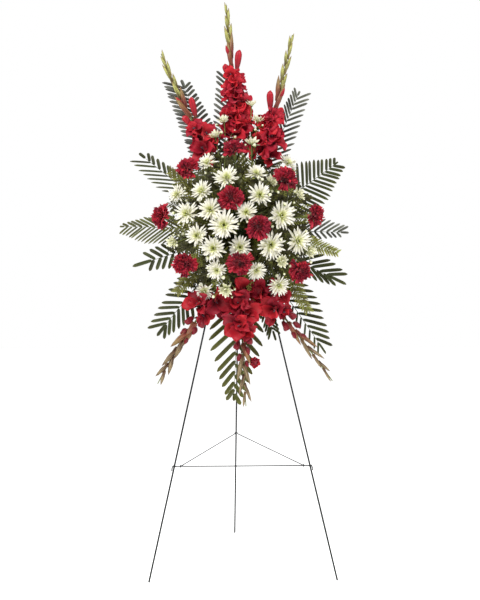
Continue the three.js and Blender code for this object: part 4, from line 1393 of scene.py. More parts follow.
@dataclass
class Filler:
    """Short fern and leaf sprigs that cover the foam under the heads.

    Their tips lie under a dome, as high as crown in the middle, that falls with the square of the distance.
    Those to the right of light_from, a share of the half width, are lighter every other time. bare gives
    the places and kinds of a few more near the middle.
    """

    shop: Workshop
    foam: Foam
    count: int = 222
    bare: tuple[tuple[float, float, int], ...] = ((2, -14, 1), (6, -38, 0))
    groups: int = 6
    half_width: float = 238
    half_height: float = 258
    crown: float = 148
    fall: float = 0.0019
    light_from: float = 0.35
    dark_below: float = 24
    light_below: float = 6
    uneven: float = 12
    lowest: float = 18
    hole_share: Spot = (0.27, 0.45)
    outlook: Spot = (10, 40)
    stalk: float = 0.3
    apex: float = 12
    seed: int = 400
    kinds: tuple[Sprig, ...] = (
        Sprig(Finish.LEAF, SPRIG_CUT, Side((30, 22), (58, 45), 8.5, 3.9)),
        Sprig(Finish.MOSS, SPRIG_CUT, Side((24, 12), (55, 40), 8.0, 3.2)),
        Sprig(Finish.LEAF, LEAF_CUT, Side((27, 18), (48, 35), 12, 6.0)),
        Sprig(Finish.FERN, SPRIG_CUT, Side((20, 8), (55, 40), 8.0, 2.8)),
        Sprig(Finish.LEAF, SPRIG_CUT, Side((30, 20), (60, 45), 8.0, 3.9)),
    )

    def spots(self) -> Iterator[tuple[float, float, float, int]]:
        """Spaces the sprigs evenly by the golden angle.

        Returns:
            For each sprig its share of the way to the rim, its right and up, and the number of its kind.
        """
        for index in range(self.count):
            share = math.sqrt((index + 0.5) / self.count)
            right = share * math.cos(index * GOLDEN_ANGLE) * self.half_width
            up = share * math.sin(index * GOLDEN_ANGLE) * self.half_height
            lighter = 1 if right > self.half_width * self.light_from and index % 2 else 0
            yield share, right, up, (index * 3 + lighter) % len(self.kinds)
        for right, up, kind in self.bare:
            yield 0.1, right, up, kind

    def build(self) -> None:
        """Makes the sprigs in groups."""
        rooted = self.foam.rooted
        drafts = [Draft() for _ in range(self.groups)]
        for index, (share, right, up, kind) in enumerate(self.spots()):
            draft = drafts[index % self.groups]
            chance = draft.chance = np.random.default_rng(self.seed + index)
            sprig = self.kinds[kind]
            below = self.dark_below if sprig.finish is Finish.LEAF else self.light_below
            depth = self.crown - self.fall * (right**2 + up**2) - below
            tip = at(right, up, max(self.lowest, depth + self.uneven * chance.uniform(-1, 1)))
            hole = (right * self.hole_share[0], up * self.hole_share[1])
            facing = unit(tip + FRONT * (self.outlook[0] + self.outlook[1] * chance.uniform(-1, 1)))
            turn = chance.uniform(0, 2 * math.pi)
            sideways = RIGHT * math.cos(turn) + UP * math.sin(turn)
            front = unit(FRONT * share * 1.6 + sideways * (1.1 - share))
            route = Route(self.foam.face_stem(hole, tip, facing), front)
            frond = Frond(
                rooted + (route.length - rooted) * self.stalk, self.apex, (sprig.side, sprig.side),
                sprig.cut, sprig.finish, stalk=1.2, droop=-25, loose=0.2)
            frond.draw(draft, route)
        for number, draft in enumerate(drafts, 1):
            self.shop.piece(f"filler_fern_{number:02d}", draft, "leaf")


# Flowers


@dataclass(frozen=True)
class Whorl:
    """One ring of petals.

    Its sizes are times the size that it is drawn at, and its angles are degrees from the axis. root and rise
    say how far from the axis, and how far along it, the petals start.
    """

    count: int
    length: float
    half: float
    lift: float
    curl: float
    root: float = 0.1
    rise: float = 0.0


@dataclass(frozen=True)
class Head:
    """A flower head: its middle, the way it faces and which way its first petal points."""

    centre: np.ndarray
    facing: np.ndarray
    top: np.ndarray = field(default_factory=lambda: UP)

    def axes(self) -> tuple[np.ndarray, np.ndarray]:
        """Two directions in the head's plane, the first towards its top."""
        first = unit(self.top - self.facing * (self.top @ self.facing))
        return first, np.cross(self.facing, first)

    def petals(
        self, draft: Draft, whorl: Whorl, cut: Cut, finish: Finish, size: float = 1, turn: float = 0,
        jitter: float = 0.12, twist: float = 0, loose: float = 0.1,
    ) -> None:
        """Adds one whorl of petals.

        Args:
            draft: Where they go.
            whorl: Their number, sizes and angles.
            cut: Their form.
            finish: Their finish.
            size: What the whorl's sizes are times.
            turn: Where the first one is.
            jitter: The most that one is off its place, as a share of the step.
            twist: The most degrees they turn about the rib.
            loose: How much they differ.
        """
        count = whorl.count
        step = 2 * math.pi / count
        angle = turn + step * (np.arange(count) + jitter * draft.chance.uniform(-1, 1, count))
        first, second = self.axes()
        out = first * np.cos(angle)[:, None] + second * np.sin(angle)[:, None]
        axis = np.broadcast_to(self.facing, out.shape)
        root = self.centre + out * (whorl.root * size) + axis * (whorl.rise * size)
        draft.blades(
            Stand(root, axis, -out), cut, finish, whorl.length * size, whorl.half * size, whorl.lift,
            whorl.curl, twist, loose)


# Shares of a bud's length, and its radius there as a share of its greatest, rolled and pointed
BUD_PLACES = (0, 0.12, 0.35, 0.55, 0.8, 0.94, 1)
SCROLL_RADII = (0.4, 0.6, 0.82, 0.95, 1, 0.7, 0.22)
POINTED_RADII = (0.4, 0.72, 1, 0.95, 0.6, 0.25, 0.06)
FOLDS = 3
FOLD_TWIST = 3.5
BUD_BEND = 0.12


def bud(
    draft: Draft, base: np.ndarray, direction: np.ndarray, length: float, radius: float, finish: Finish,
    bend: np.ndarray, folds: float = 0.0, sides: int = 12, blunt: bool = False,
) -> None:
    """Adds a closed bud.

    Args:
        draft: Where it goes.
        base: Its root.
        direction: The way it points.
        length: Its length.
        radius: Its greatest radius.
        finish: Its finish.
        bend: The direction that its tip leans to.
        folds: How deep the twisted folds of its petals are, as a share of the radius.
        sides: Points round it.
        blunt: Whether it is rolled like a scroll and widest near its end, or pointed.
    """
    share = np.linspace(0, 1, 12)
    profile = np.interp(share, BUD_PLACES, SCROLL_RADII if blunt else POINTED_RADII)
    turn = np.arange(sides) * 2 * math.pi / sides
    wave = 1 + folds * np.sin(FOLDS * turn[None] + FOLD_TWIST * share[:, None])
    points = base + direction * (share * length)[:, None] + bend * (share**2 * length * BUD_BEND)[:, None]
    draft.tube(points, radius * profile[:, None] * wave, finish, sides)


TEPAL_CUT = Cut(
    ((0, 0.16), (0.2, 0.48), (0.42, 0.86), (0.6, 1), (0.78, 0.8), (0.91, 0.42), (1, 0.03)), steps=12,
    sides=6, thickness=0.7, cup=(0.9, 0.12), keel=0.1, ripple=6.2, ripples=2.5, flounce=2.8,
    flounces=1.7, flick=-0.35)
BRACT_CUT = Cut(
    ((0, 0.75), (0.2, 1), (0.5, 0.85), (0.8, 0.45), (1, 0.04)), steps=7, sides=6, thickness=0.5,
    cup=(0.75, 0.3), keel=0.12)


@dataclass(frozen=True)
class GladiolusRow:
    """One gladiolus: its hole, its way, its tip and the stretch of open florets.

    face is 1 above the foam and -1 below it. turn and sway say to which side the first floret leans and how
    far, between is the size of the florets between the main ones, girth widens the green buds, stray is the
    place of a late floret and tall_side the side of the tallest red bud.
    """

    across: float
    face: int
    via: Place
    tip: Place
    open: Spot
    turn: int
    sway: float
    between: float
    # dark marks a spike below the foam: its petals and red buds take the finishes darkened as painted shade,
    # its bracts are tan
    dark: bool = False
    girth: float = 1.0
    stray: Place | None = None
    tall_side: int = 1


@dataclass(frozen=True)
class RedBud:
    """A red bud: how far past the open florets it leaves the stem, its length, radius and offset."""

    beyond: float
    length: float
    radius: float
    sideways: float


@dataclass
class Gladioli:
    """Six flower spikes: a stem with green buds, and red florets with red buds above them.

    Florets are smaller by top_shrink at the top of an upright spike, and lean less by top_calm. tube gives
    how far behind a floret's middle, and with what radius, its tube passes. anthers gives how far the three
    stamens and the style lean aside, and their length. The green buds start bud_start past the open florets
    and end bare_tip before the tip. Pairs give their size at the first of them and at the tip.
    """

    shop: Workshop
    foam: Foam
    radius: float = 3.6
    tip_radius: float = 1.3
    hole: float = 40
    outward: float = 50
    pitch: float = 34
    reach: float = 43
    top_shrink: float = 0.28
    top_calm: float = 0.5
    full_size: float = 0.98
    size_step: float = 0.04
    least_sway: float = 0.62
    sway_step: float = 0.16
    loose: float = 0.32
    seed: int = 500
    rows: tuple[GladiolusRow, ...] = (
        GladiolusRow(-35, 1, (-122, 226, 62), (-238, 542, 40), (170, 238), 0, 1, 0.6),
        GladiolusRow(0, 1, (-10, 300, 52), (-39, 704, 40), (196, 366), 0, 0.8, 0.84),
        GladiolusRow(35, 1, (90, 256, 54), (161, 608, 40), (142, 244), 1, 0.9, 1.0, tall_side=-1),
        GladiolusRow(-35, -1, (-130, -240, 62), (-242, -464, 40), (153, 187), 0, 1, 0.6, True, 1.25),
        GladiolusRow(
            0, -1, (-10, -250, 78), (8, -530, 44), (120, 222), 0, 0.5, 0.66, True, 0.95, (34, -400, 46)),
        GladiolusRow(35, -1, (100, -232, 58), (256, -457, 40), (116, 184), 1, 0.8, 0.55, True, 0.85),
    )
    bright_buds: tuple[RedBud, ...] = (
        RedBud(24, 42, 9.6, 11), RedBud(46, 60, 9.8, 12), RedBud(94, 32, 5.0, 6))
    dark_buds: tuple[RedBud, ...] = (
        RedBud(28, 36, 9.8, 14), RedBud(46, 32, 8.8, 12), RedBud(66, 28, 7.6, 10),
        RedBud(86, 25, 6.6, 9), RedBud(106, 22, 5.4, 7))
    scroll_from: float = 8
    bud_start: float = 60
    bare_tip: float = 26
    bud_length: Spot = (78, 36)
    bud_radius: Spot = (10.4, 4.6)
    bud_pitch: Spot = (32, 19)
    blush_share: float = 0.16
    tepals: tuple[Whorl, Whorl] = (
        Whorl(3, 55, 19.0, -36, -46, root=4.6, rise=-22.5),
        Whorl(3, 57, 21.5, -26, -42, root=4.0, rise=-21),
    )
    hood_breadth: float = 0.08
    hood_lift: float = 9
    hood_curl: float = 12
    tube: tuple[Spot, ...] = ((-43, 2.6), (-36, 3.0), (-28, 3.8), (-20, 5.2), (-15, 5.6))
    anthers: tuple[Spot, ...] = ((-0.22, 19), (0.0, 20), (0.22, 19), (0.08, 23))
    anther_radii: tuple[float, ...] = (0.55, 0.5, 0.5, 0.5, 0.5, 1.2, 1.25, 0.5)
    anther_root: float = 18
    anther_bow: float = 14
    late_tepals: tuple[Whorl, Whorl] = (
        Whorl(6, 17, 7.5, -52, -30, root=2, rise=-6),
        Whorl(6, 17, 7.5, -30, -30, root=2, rise=-6),
    )

    def route(self, row: GladiolusRow) -> Route:
        """The run of one stem.

        Args:
            row: The gladiolus.

        Returns:
            The route.
        """
        entry = at(row.across, row.face * self.foam.height / 2, 2)
        outward = UP * row.face
        via, tip = at(*row.via), at(*row.tip)
        leave, arrive = entry + outward * self.outward, lerp(via, tip, 0.15)
        return Route(planted(entry, -outward, self.hole, leave, arrive, tip))

    def floret(
        self, draft: Draft, root: np.ndarray, direction: np.ndarray, upward: np.ndarray, size: float,
        finish: Finish,
    ) -> None:
        """Adds one open floret: its tube, six tepals in two whorls, stamens and style.

        Args:
            draft: Where it goes.
            root: Where its tube leaves the stem.
            direction: The way it faces.
            upward: The way its hood points.
            size: Its scale.
            finish: The finish of its petals.
        """
        head = Head(root + direction * self.reach * size, direction, upward)
        reach, radii = np.array(self.tube).T * size
        draft.tube(head.centre + direction * reach[:, None], radii, finish, 10, tone=0.3)
        cut = TEPAL_CUT.scaled(size)
        for turn, whorl in zip((math.pi / 3, 0.0), self.tepals):
            hood = np.cos(turn + np.arange(3) * 2 * math.pi / 3)
            hooded = replace(
                whorl, half=whorl.half * (1 + self.hood_breadth * hood),
                lift=whorl.lift + self.hood_lift * hood, curl=whorl.curl + self.hood_curl * hood)
            head.petals(draft, hooded, cut, finish, size, turn, 0.05, 30, self.loose)
        first, second = head.axes()
        share = np.linspace(0, 1, len(self.anther_radii))[:, None]
        start = head.centre - direction * self.anther_root * size
        for spread, length in self.anthers:
            lean = first * 0.45 + second * spread
            points = start + direction * share * length * size + lean * (share**2) * self.anther_bow
            draft.tube(points, np.array(self.anther_radii), Finish.STAMEN, 6)

    def build(self) -> None:
        """Makes the green and the red piece of each spike."""
        for index, row in enumerate(self.rows, 1):
            chance = np.random.default_rng(self.seed + index)
            route = self.route(row)
            green, red = Draft(chance), Draft(chance)
            self.stem(green, route, row)
            self.open_florets(green, red, route, row)
            self.red_buds(green, red, route, row)
            if row.stray:
                self.stray(green, red, route, at(*row.stray))
            name = f"gladiolus_{index:02d}"
            self.shop.piece(f"{name}_stem_and_buds", green, "spike", (f"{name}_spike",))
            self.shop.piece(f"{name}_petals", red, "scarlet_petal", (f"{name}_florets",))

    def open_florets(self, green: Draft, red: Draft, route: Route, row: GladiolusRow) -> None:
        """Adds the open florets, which lean to one side and the other, and a smaller one after each.

        Args:
            green: Where their bracts go.
            red: Where their petals go.
            route: The stem.
            row: The gladiolus.
        """
        # Florets below the foam take the petal finish darkened as painted shade
        finish, upward = (Finish.SHADED_SCARLET, 0.3) if row.dark else (Finish.SCARLET, 0.6)
        open_start, open_end = row.open
        places = np.arange(open_start, open_end + 1e-6, self.pitch)
        for turn, place in enumerate(places, row.turn):
            stand = route.stand(place)
            origin, along, across, facing = (
                rows[0] for rows in (stand.origin, stand.along, stand.across, stand.facing))
            rise = (place - open_start) / (open_end - open_start) if row.face > 0 else 0.0
            sway = row.sway * (1 if turn % 2 else -1) * (self.least_sway + self.sway_step * (turn % 3))
            sway *= 1 - self.top_calm * rise
            direction = unit(facing + across * sway + along * upward)
            youth = 1 - self.top_shrink * rise**1.5
            size = (self.full_size - self.size_step * (turn % 3)) * youth
            self.floret(red, origin, direction, along, size, finish)
            self.bracts(green, origin, direction, along, Finish.BLUSH, 42 * size, 9)
            between = route.stand(place + self.pitch / 2)
            direction = unit(facing - across * sway * 0.7 + along * 0.45)
            self.floret(red, between.origin[0], direction, along, row.between * youth, finish)

    def red_buds(self, green: Draft, red: Draft, route: Route, row: GladiolusRow) -> None:
        """Adds the red buds past the open florets, to one side and the other.

        Args:
            green: Where their bracts go.
            red: Where the buds go.
            route: The stem.
            row: The gladiolus.
        """
        finish, buds = Finish.SCARLET_BUD, self.bright_buds
        # Red buds below the foam take the bud finish darkened as painted shade
        if row.dark:
            finish, buds = Finish.SHADED_SCARLET_BUD, self.dark_buds
        for step, red_bud in enumerate(buds):
            stand = route.stand(row.open[1] + red_bud.beyond)
            lean = row.tall_side if step % 2 else -row.tall_side
            aside, along, facing = stand.across[0] * lean, stand.along[0], stand.facing[0]
            base = stand.origin[0] + aside * red_bud.sideways + facing * 6
            direction = unit(along + aside * 0.25 + facing * 0.2)
            bud(
                red, base, direction, red_bud.length, red_bud.radius, finish, facing, 0.2, 18,
                blunt=red_bud.radius > self.scroll_from)
            root = stand.origin[0] - along * 8
            self.bracts(
                green, root, unit(base + direction * 6 - root), along, Finish.BLUSH,
                red_bud.length * 0.6, red_bud.radius * 0.75)

    def stray(self, green: Draft, red: Draft, route: Route, place: np.ndarray) -> None:
        """Adds one small late floret on a stalk of its own.

        Args:
            green: Where its stalk goes.
            red: Where its petals go.
            route: The stem that it leaves.
            place: Where it stands.
        """
        nearest = int(np.argmin(np.linalg.norm(route.points - place, axis=1)))
        root = route.points[max(0, nearest - 12)]
        reach = bezier([root, lerp(root, place, 0.3), lerp(root, place, 0.8) - FRONT * 4, place], 10)
        stalk = np.vstack([root, reach])
        green.tube(stalk, np.full(len(stalk), 1.2), Finish.STEM, 8)
        facing = unit(FRONT - UP * 0.25)
        # The late floret takes the bud and petal finishes darkened as painted shade
        bud(red, place - facing * 8, facing, 20, 9, Finish.SHADED_SCARLET_BUD, UP * 0, 0.2, 18)
        head = Head(place, facing)
        cut = TEPAL_CUT.scaled(0.5)
        for level, whorl in enumerate(self.late_tepals):
            head.petals(red, whorl, cut, Finish.SHADED_SCARLET, turn=level * 0.5, twist=30, loose=0.3)

    def bracts(
        self, draft: Draft, base: np.ndarray, direction: np.ndarray, upward: np.ndarray, finish: Finish,
        length: float, half: float,
    ) -> None:
        """Adds the two pointed bracts that hold a floret or a bud.

        Args:
            draft: Where they go.
            base: Their root.
            direction: The way they point.
            upward: The side of the inner one.
            finish: Their finish.
            length: The length of the outer one.
            half: Its half width.
        """
        inner = Stand(base - direction * 2, direction, upward)
        outer = Stand(base - direction * 3, direction, -upward)
        draft.blades(inner, BRACT_CUT, finish, length * 0.86, half * 0.8, -4, 6, loose=0.05)
        draft.blades(outer, BRACT_CUT, finish, length, half, -8, 8, loose=0.05)

    def stem(self, draft: Draft, route: Route, row: GladiolusRow) -> None:
        """Adds the stem and the green buds that climb to its tip.

        Args:
            draft: Where they go.
            route: The run of the stem.
            row: The gladiolus.
        """
        (open_start, open_end), chance = row.open, draft.chance
        length = route.length
        places = np.linspace(0, length - 4, 40)
        share = np.clip((places - open_start) / (length - open_start), 0, 1)
        draft.tube(route.stand(places).origin, lerp(self.radius, self.tip_radius, share), Finish.STEM, 10)
        start = place = open_end + self.bud_start
        side = 1 if row.turn else -1
        finish = Finish.TAN if row.dark else Finish.SPIKE
        while place < length - self.bare_tip:
            stand = route.stand(place - 2)
            share = (place - start) / (length - start)
            spread = chance.uniform(0.08, 0.24) * (1.6 if row.dark else 1.0)
            direction = unit(
                stand.along + stand.across * spread * side + stand.facing * chance.uniform(0, 0.3))[0]
            size = lerp(*self.bud_length, share) * chance.uniform(0.8, 1.1)
            radius = lerp(*self.bud_radius, share) * row.girth
            base = stand.origin[0]
            shade = Finish.BLUSH if share < self.blush_share else finish
            bud(draft, base, direction, size * 0.94, radius * 0.74, shade, stand.along[0], 0.05)
            self.bracts(draft, base, direction, stand.across[0] * -side, shade, size, radius * 1.1)
            side = -side
            place += lerp(*self.bud_pitch, share)


CARNATION_CUT = Cut(
    ((0, 0.14), (0.35, 0.36), (0.7, 0.78), (0.9, 1), (1, 1)), steps=6, sides=10, thickness=0.45,
    cup=(0.5, 0.1), flounce=4.8, flounces=3.4, teeth=2.4)
TOOTH_CUT = Cut(((0, 1), (0.5, 0.7), (1, 0.05)), steps=3, sides=2, thickness=0.4, cup=(0.3, 0.2))


@dataclass(frozen=True)
class CarnationRow:
    """One carnation: where its calyx ends, its hole and how far it turns away sideways."""

    place: Place
    hole: Spot
    sideways: float = 0.0


@dataclass
class Carnations:
    """Ten double carnations with fringed petals.

    calyx gives how far before the head, and with what radius, the stem and its calyx pass.
    """

    shop: Workshop
    foam: Foam
    stem: float = 1.8
    calyx: tuple[Spot, ...] = ((30, 2.0), (25, 4.2), (21, 5.4), (12, 6.6), (2, 8.0))
    teeth: Whorl = Whorl(5, 9, 4, -16, -10, root=7.6, rise=-1)
    past_head: float = 3
    seed: int = 600
    rows: tuple[CarnationRow, ...] = (
        CarnationRow((-22, 198, 122), (-6, 84)),
        CarnationRow((-152, 144, 112), (-43, 60)),
        CarnationRow((118, 108, 140), (33, 45)),
        CarnationRow((-34, 37, 184), (-9, 15)),
        CarnationRow((-222, 14, 92), (-45, 8), 0.9),
        CarnationRow((196, 10, 116), (45, 4), 0.8),
        CarnationRow((38, -44, 190), (11, -19)),
        CarnationRow((-160, -128, 104), (-45, -53)),
        CarnationRow((-9, -138, 158), (-2, -58)),
        CarnationRow((158, -144, 98), (44, -60)),
    )
    whorls: tuple[Whorl, ...] = (
        Whorl(10, 33.5, 14.5, -40, -58, root=2.6, rise=-1),
        Whorl(10, 32.5, 14.5, -33, -44, root=2.6, rise=-1),
        Whorl(9, 32, 14, -24, -34, root=2.6, rise=-1),
        Whorl(8, 32, 12.5, -15, -26, root=2.6, rise=-1),
        Whorl(6, 31, 10, -7, -16, root=2.6, rise=-1),
        Whorl(4, 30, 8, 0, -8, root=2.6, rise=-1),
    )

    def build(self) -> None:
        """Makes the head, calyx and stem of each."""
        for index, row in enumerate(self.rows, 1):
            place = at(*row.place)
            facing = unit(place - HEART)
            if row.sideways:
                facing = unit(facing + RIGHT * math.copysign(row.sideways, place[0]))
            tip = place + facing * self.past_head
            route = Route(self.foam.face_stem(row.hole, tip, facing), UP)
            draft = Draft(np.random.default_rng(self.seed + index))
            end, rooted = route.length, self.foam.rooted
            before_end, calyx = np.array(self.calyx).T
            places = np.array([0, rooted, rooted + (end - 2 * rooted) * 0.5, *(end - before_end)])
            radii = np.array([self.stem] * 3 + calyx.tolist())
            draft.tube(route.stand(places).origin, radii, Finish.STEM, 14)
            head = Head(place, facing)
            head.petals(draft, self.teeth, TOOTH_CUT, Finish.STEM, turn=0.4, jitter=0, loose=0.05)
            for level, whorl in enumerate(self.whorls):
                head.petals(
                    draft, whorl, CARNATION_CUT, Finish.CRIMSON, turn=level * 0.7 + index, jitter=0.45,
                    twist=46, loose=0.42)
            name = f"carnation_{index:02d}"
            self.shop.piece(f"{name}_bloom", draft, "crimson_petal", (name,))


RAY_CUT = Cut(
    ((0, 0.4), (0.3, 0.8), (0.7, 1), (0.9, 0.78), (1, 0.2)), steps=6, sides=2, thickness=0.5,
    cup=(0.55, 0.4), flick=0.5)
CUP_CUT = Cut(
    ((0, 0.4), (0.4, 1), (0.75, 0.9), (1, 0.3)), steps=6, sides=4, thickness=0.5, cup=(0.5, 0.45))
SEED_CUT = Cut(((0, 0.8), (0.6, 1), (1, 0.3)), steps=2, sides=2, thickness=0.5, cup=(0.4, 0.4))


@dataclass(frozen=True)
class MumRow:
    """One branching spray of chrysanthemums: hole, fork, and heads as right, up, forward and radius."""

    hole: Spot
    fork: Place
    heads: tuple[tuple[float, float, float, float], ...]


@dataclass
class MumSprays:
    """White spray chrysanthemums: open daisies, half open ones and small round buds.

    A head with a radius under small is half open. Rays shorter than young are greenish. receptacle and dome
    give how far before the middle of a head, and with what radius, the two pass, in shares of its radius.
    """

    shop: Workshop
    foam: Foam
    small: float = 20
    young: float = 0.6
    neck: float = 0.16
    branch_radius: float = 1.4
    leaf_places: Spot = (0.4, 0.68)
    bud_places: tuple[float, ...] = (0.46, 0.58, 0.7, 0.84)
    receptacle: tuple[Spot, ...] = ((-0.2, 0.18), (-0.1, 0.24), (-0.02, 0.22))
    dome: tuple[Spot, ...] = ((-0.02, 0.17), (0.03, 0.16), (0.07, 0.1), (0.09, 0.03))
    bracts: Whorl = Whorl(12, 0.26, 0.05, -62, -10, root=0.16, rise=-0.16)
    florets: int = 46
    disc_radius: float = 0.17
    seed: int = 700
    rows: tuple[MumRow, ...] = (
        MumRow((-25, 74), (-52, 104, 82), (
            (-100, 162, 132, 25), (-46, 107, 158, 33), (-116, 72, 146, 28), (-76, 262, 74, 15),
            (-50, 309, 76, 14))),
        MumRow((18, 68), (38, 100, 84), (
            (37, 121, 156, 26), (132, 169, 112, 25), (82, 100, 148, 14), (30, 232, 98, 15),
            (50, 313, 72, 14), (32, 360, 76, 13))),
        MumRow((-45, -17), (-88, -8, 74), (
            (-186, 72, 112, 25), (-158, 8, 138, 31), (-130, -58, 148, 28), (-195, -66, 108, 14))),
        MumRow((-24, -8), (-46, -18, 92), (
            (-92, 12, 160, 32), (-55, -38, 184, 36), (-84, -96, 152, 32))),
        MumRow((18, 8), (36, 18, 90), (
            (46, 52, 174, 31), (7, -1, 182, 27), (106, -6, 168, 37), (158, 66, 132, 14))),
        MumRow((38, -26), (70, -68, 74), (
            (75, -88, 162, 36), (154, -69, 134, 33), (36, -153, 130, 25), (101, -188, 98, 27),
            (106, -130, 140, 14), (189, -94, 108, 14))),
        MumRow((-20, -78), (-38, -110, 80), (
            (-10, -92, 150, 29), (-74, -155, 138, 26), (-108, -201, 77, 24), (-50, -203, 110, 15))),
    )
    rays: tuple[Whorl, ...] = (
        Whorl(21, 1.10, 0.090, -78, -6),
        Whorl(19, 0.97, 0.086, -66, -12, rise=0.02),
        Whorl(16, 0.76, 0.078, -52, -14, rise=0.04),
        Whorl(12, 0.52, 0.062, -36, -12, rise=0.05),
        Whorl(9, 0.34, 0.048, -22, -6, rise=0.05),
    )
    cup: tuple[Whorl, ...] = (
        Whorl(13, 1.55, 0.27, -72, 34),
        Whorl(10, 1.25, 0.25, -56, 38),
        Whorl(7, 0.86, 0.20, -36, 30),
    )

    def build(self) -> None:
        """Makes each spray."""
        for index, row in enumerate(self.rows):
            draft = Draft(np.random.default_rng(self.seed + index))
            fork = at(*row.fork)
            main = Route(self.foam.face_stem(row.hole, fork, unit(fork - at(0, 0, 20))), UP)
            places = np.linspace(0, main.length, 12)
            draft.tube(main.stand(places).origin, lerp(1.8, 2.2, places / main.length), Finish.STEM, 8)
            self.leaves(draft, main, np.linspace(34, main.length - 4, 4))
            for number, (right, up, forward, radius) in enumerate(row.heads):
                self.branch(draft, fork, at(right, up, forward), radius, (number + index) * 0.4)
            name = f"mum_spray_{index + 1:02d}"
            self.shop.piece(f"{name}_flowers", draft, "white_petal", (name,))

    def leaves(self, draft: Draft, route: Route, places: np.ndarray) -> None:
        """Adds lobed leaves along a stem, each to another side.

        Args:
            draft: Where they go.
            route: The run of the stem.
            places: Their places along it.
        """
        stand = route.stand(places)
        turn = (np.arange(len(places)) * 2.4 + draft.chance.uniform(0, 6))[:, None]
        out = stand.across * np.cos(turn) + stand.facing * np.sin(turn)
        leaves = Stand(stand.origin, unit(out + stand.along * 0.7), stand.along)
        draft.blades(leaves, LOBED_CUT, Finish.LEAF, 42, 12.5, 6, -40, 20, 0.2)

    def branch(
        self, draft: Draft, fork: np.ndarray, place: np.ndarray, radius: float, spin: float,
    ) -> None:
        """Adds a branch with its leaves, its side buds and its head.

        Args:
            draft: Where it goes.
            fork: Where the branch starts.
            place: The middle of the head.
            radius: The head's radius.
            spin: Where its first petal is.
        """
        facing = unit(place - HEART)
        reach = float(np.linalg.norm(place - fork))
        arrive = place - facing * reach * 0.35
        route = Route(np.vstack([fork, bezier([fork, lerp(fork, place, 0.35), arrive, place])]), UP)
        places = np.linspace(0, route.length - self.neck * radius, 12)
        draft.tube(route.stand(places).origin, np.full(12, self.branch_radius), Finish.STEM, 8)
        self.leaves(draft, route, np.array(self.leaf_places) * route.length)
        for share in self.bud_places:
            self.side_bud(draft, route, share * route.length)
        head = Head(place, facing)
        rise, radii = np.array(self.receptacle).T
        cup = place + facing * np.array([-0.26, *rise])[:, None] * radius
        draft.tube(cup, np.array([1.6, *(radii * radius)]), Finish.STEM, 14)
        head.petals(draft, self.bracts, TOOTH_CUT, Finish.STEM, radius)
        if radius < self.small:
            whorls, cut, finish = self.cup, CUP_CUT, Finish.CREAM
        else:
            whorls, cut, finish = self.rays, RAY_CUT, Finish.WHITE
            self.disc(draft, head, radius)
        for level, whorl in enumerate(whorls):
            shade = Finish.YOUNG if finish is Finish.WHITE and whorl.length < self.young else finish
            head.petals(draft, whorl, cut, shade, radius, spin + level, 0.3, 28, 0.32)

    def disc(self, draft: Draft, head: Head, radius: float) -> None:
        """Adds the middle of an open head: a low dome set with small florets.

        Args:
            draft: Where it goes.
            head: The head.
            radius: The head's radius.
        """
        rise, radii = np.array(self.dome).T
        points = head.centre + head.facing * rise[:, None] * radius
        draft.tube(points, radii * radius, Finish.DISC, 14, tone=0.2)
        count = self.florets
        share = np.sqrt((np.arange(count) + 0.5) / count)
        angle = np.arange(count) * GOLDEN_ANGLE
        first, second = head.axes()
        out = first * np.cos(angle)[:, None] + second * np.sin(angle)[:, None]
        height = (0.02 + 0.07 * (1 - share**2)) * radius
        reach = share * self.disc_radius * radius
        origin = head.centre + out * reach[:, None] + head.facing * height[:, None]
        along = head.facing + out * (share * 0.5)[:, None]
        for chosen, finish in ((share < 0.55, Finish.DISC), (share >= 0.55, Finish.POLLEN)):
            stand = Stand(origin[chosen], along[chosen], -out[chosen])
            length = lerp(0.05, 0.11, share[chosen]) * radius
            draft.blades(stand, SEED_CUT, finish, length, 0.018 * radius)

    def side_bud(self, draft: Draft, route: Route, place: float) -> None:
        """Adds a small round bud on a short stalk.

        Args:
            draft: Where it goes.
            route: The run of the branch.
            place: Where the stalk leaves it.
        """
        stand, chance = route.stand(place), draft.chance
        turn = chance.uniform(0, 2 * math.pi)
        out = stand.across[0] * math.cos(turn) + stand.facing[0] * math.sin(turn)
        direction = unit(out + stand.along[0] * 1.1)
        size = chance.uniform(3.2, 5.4)
        start = stand.origin[0]
        end = start + direction * chance.uniform(20, 44)
        draft.tube(lerp(start, end, np.linspace(0, 1, 4)[:, None]), np.full(4, 0.7), Finish.STEM, 6)
        cup = end + direction * np.array([-0.2, 0.2, 0.7])[:, None] * size
        draft.tube(cup, np.array([0.4, 0.85, 0.95]) * size, Finish.STEM, 10)
        bud(draft, end + direction * 0.3 * size, direction, size * 2.1, size, Finish.CREAM, UP * 0, 0.07, 8)


# Easel dressing and the studio


def dress_nodes(frame: dict, shop: Workshop) -> None:
    """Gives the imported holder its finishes: the plastic cage, the wet foam and the wire tie.

    Args:
        frame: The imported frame.
        shop: Where the materials are made.
    """
    finishes = {"foam_cage": Finish.CAGE, "foam_block": Finish.FOAM, "cage_tie": Finish.WIRE}
    for name, finish in finishes.items():
        node = frame["nodes"][name]
        material = shop.material(finish)
        if not node.material_slots:
            node.data.materials.append(material)
        for place in node.material_slots:
            place.link = "OBJECT"
            place.material = material
        LOG.info("%s: finished as %s", name, material.name)


@dataclass(frozen=True)
class Lamp:
    """A soft square lamp: its place and size in metres and its power in watts."""

    name: str
    place: Place
    power: float
    size: float


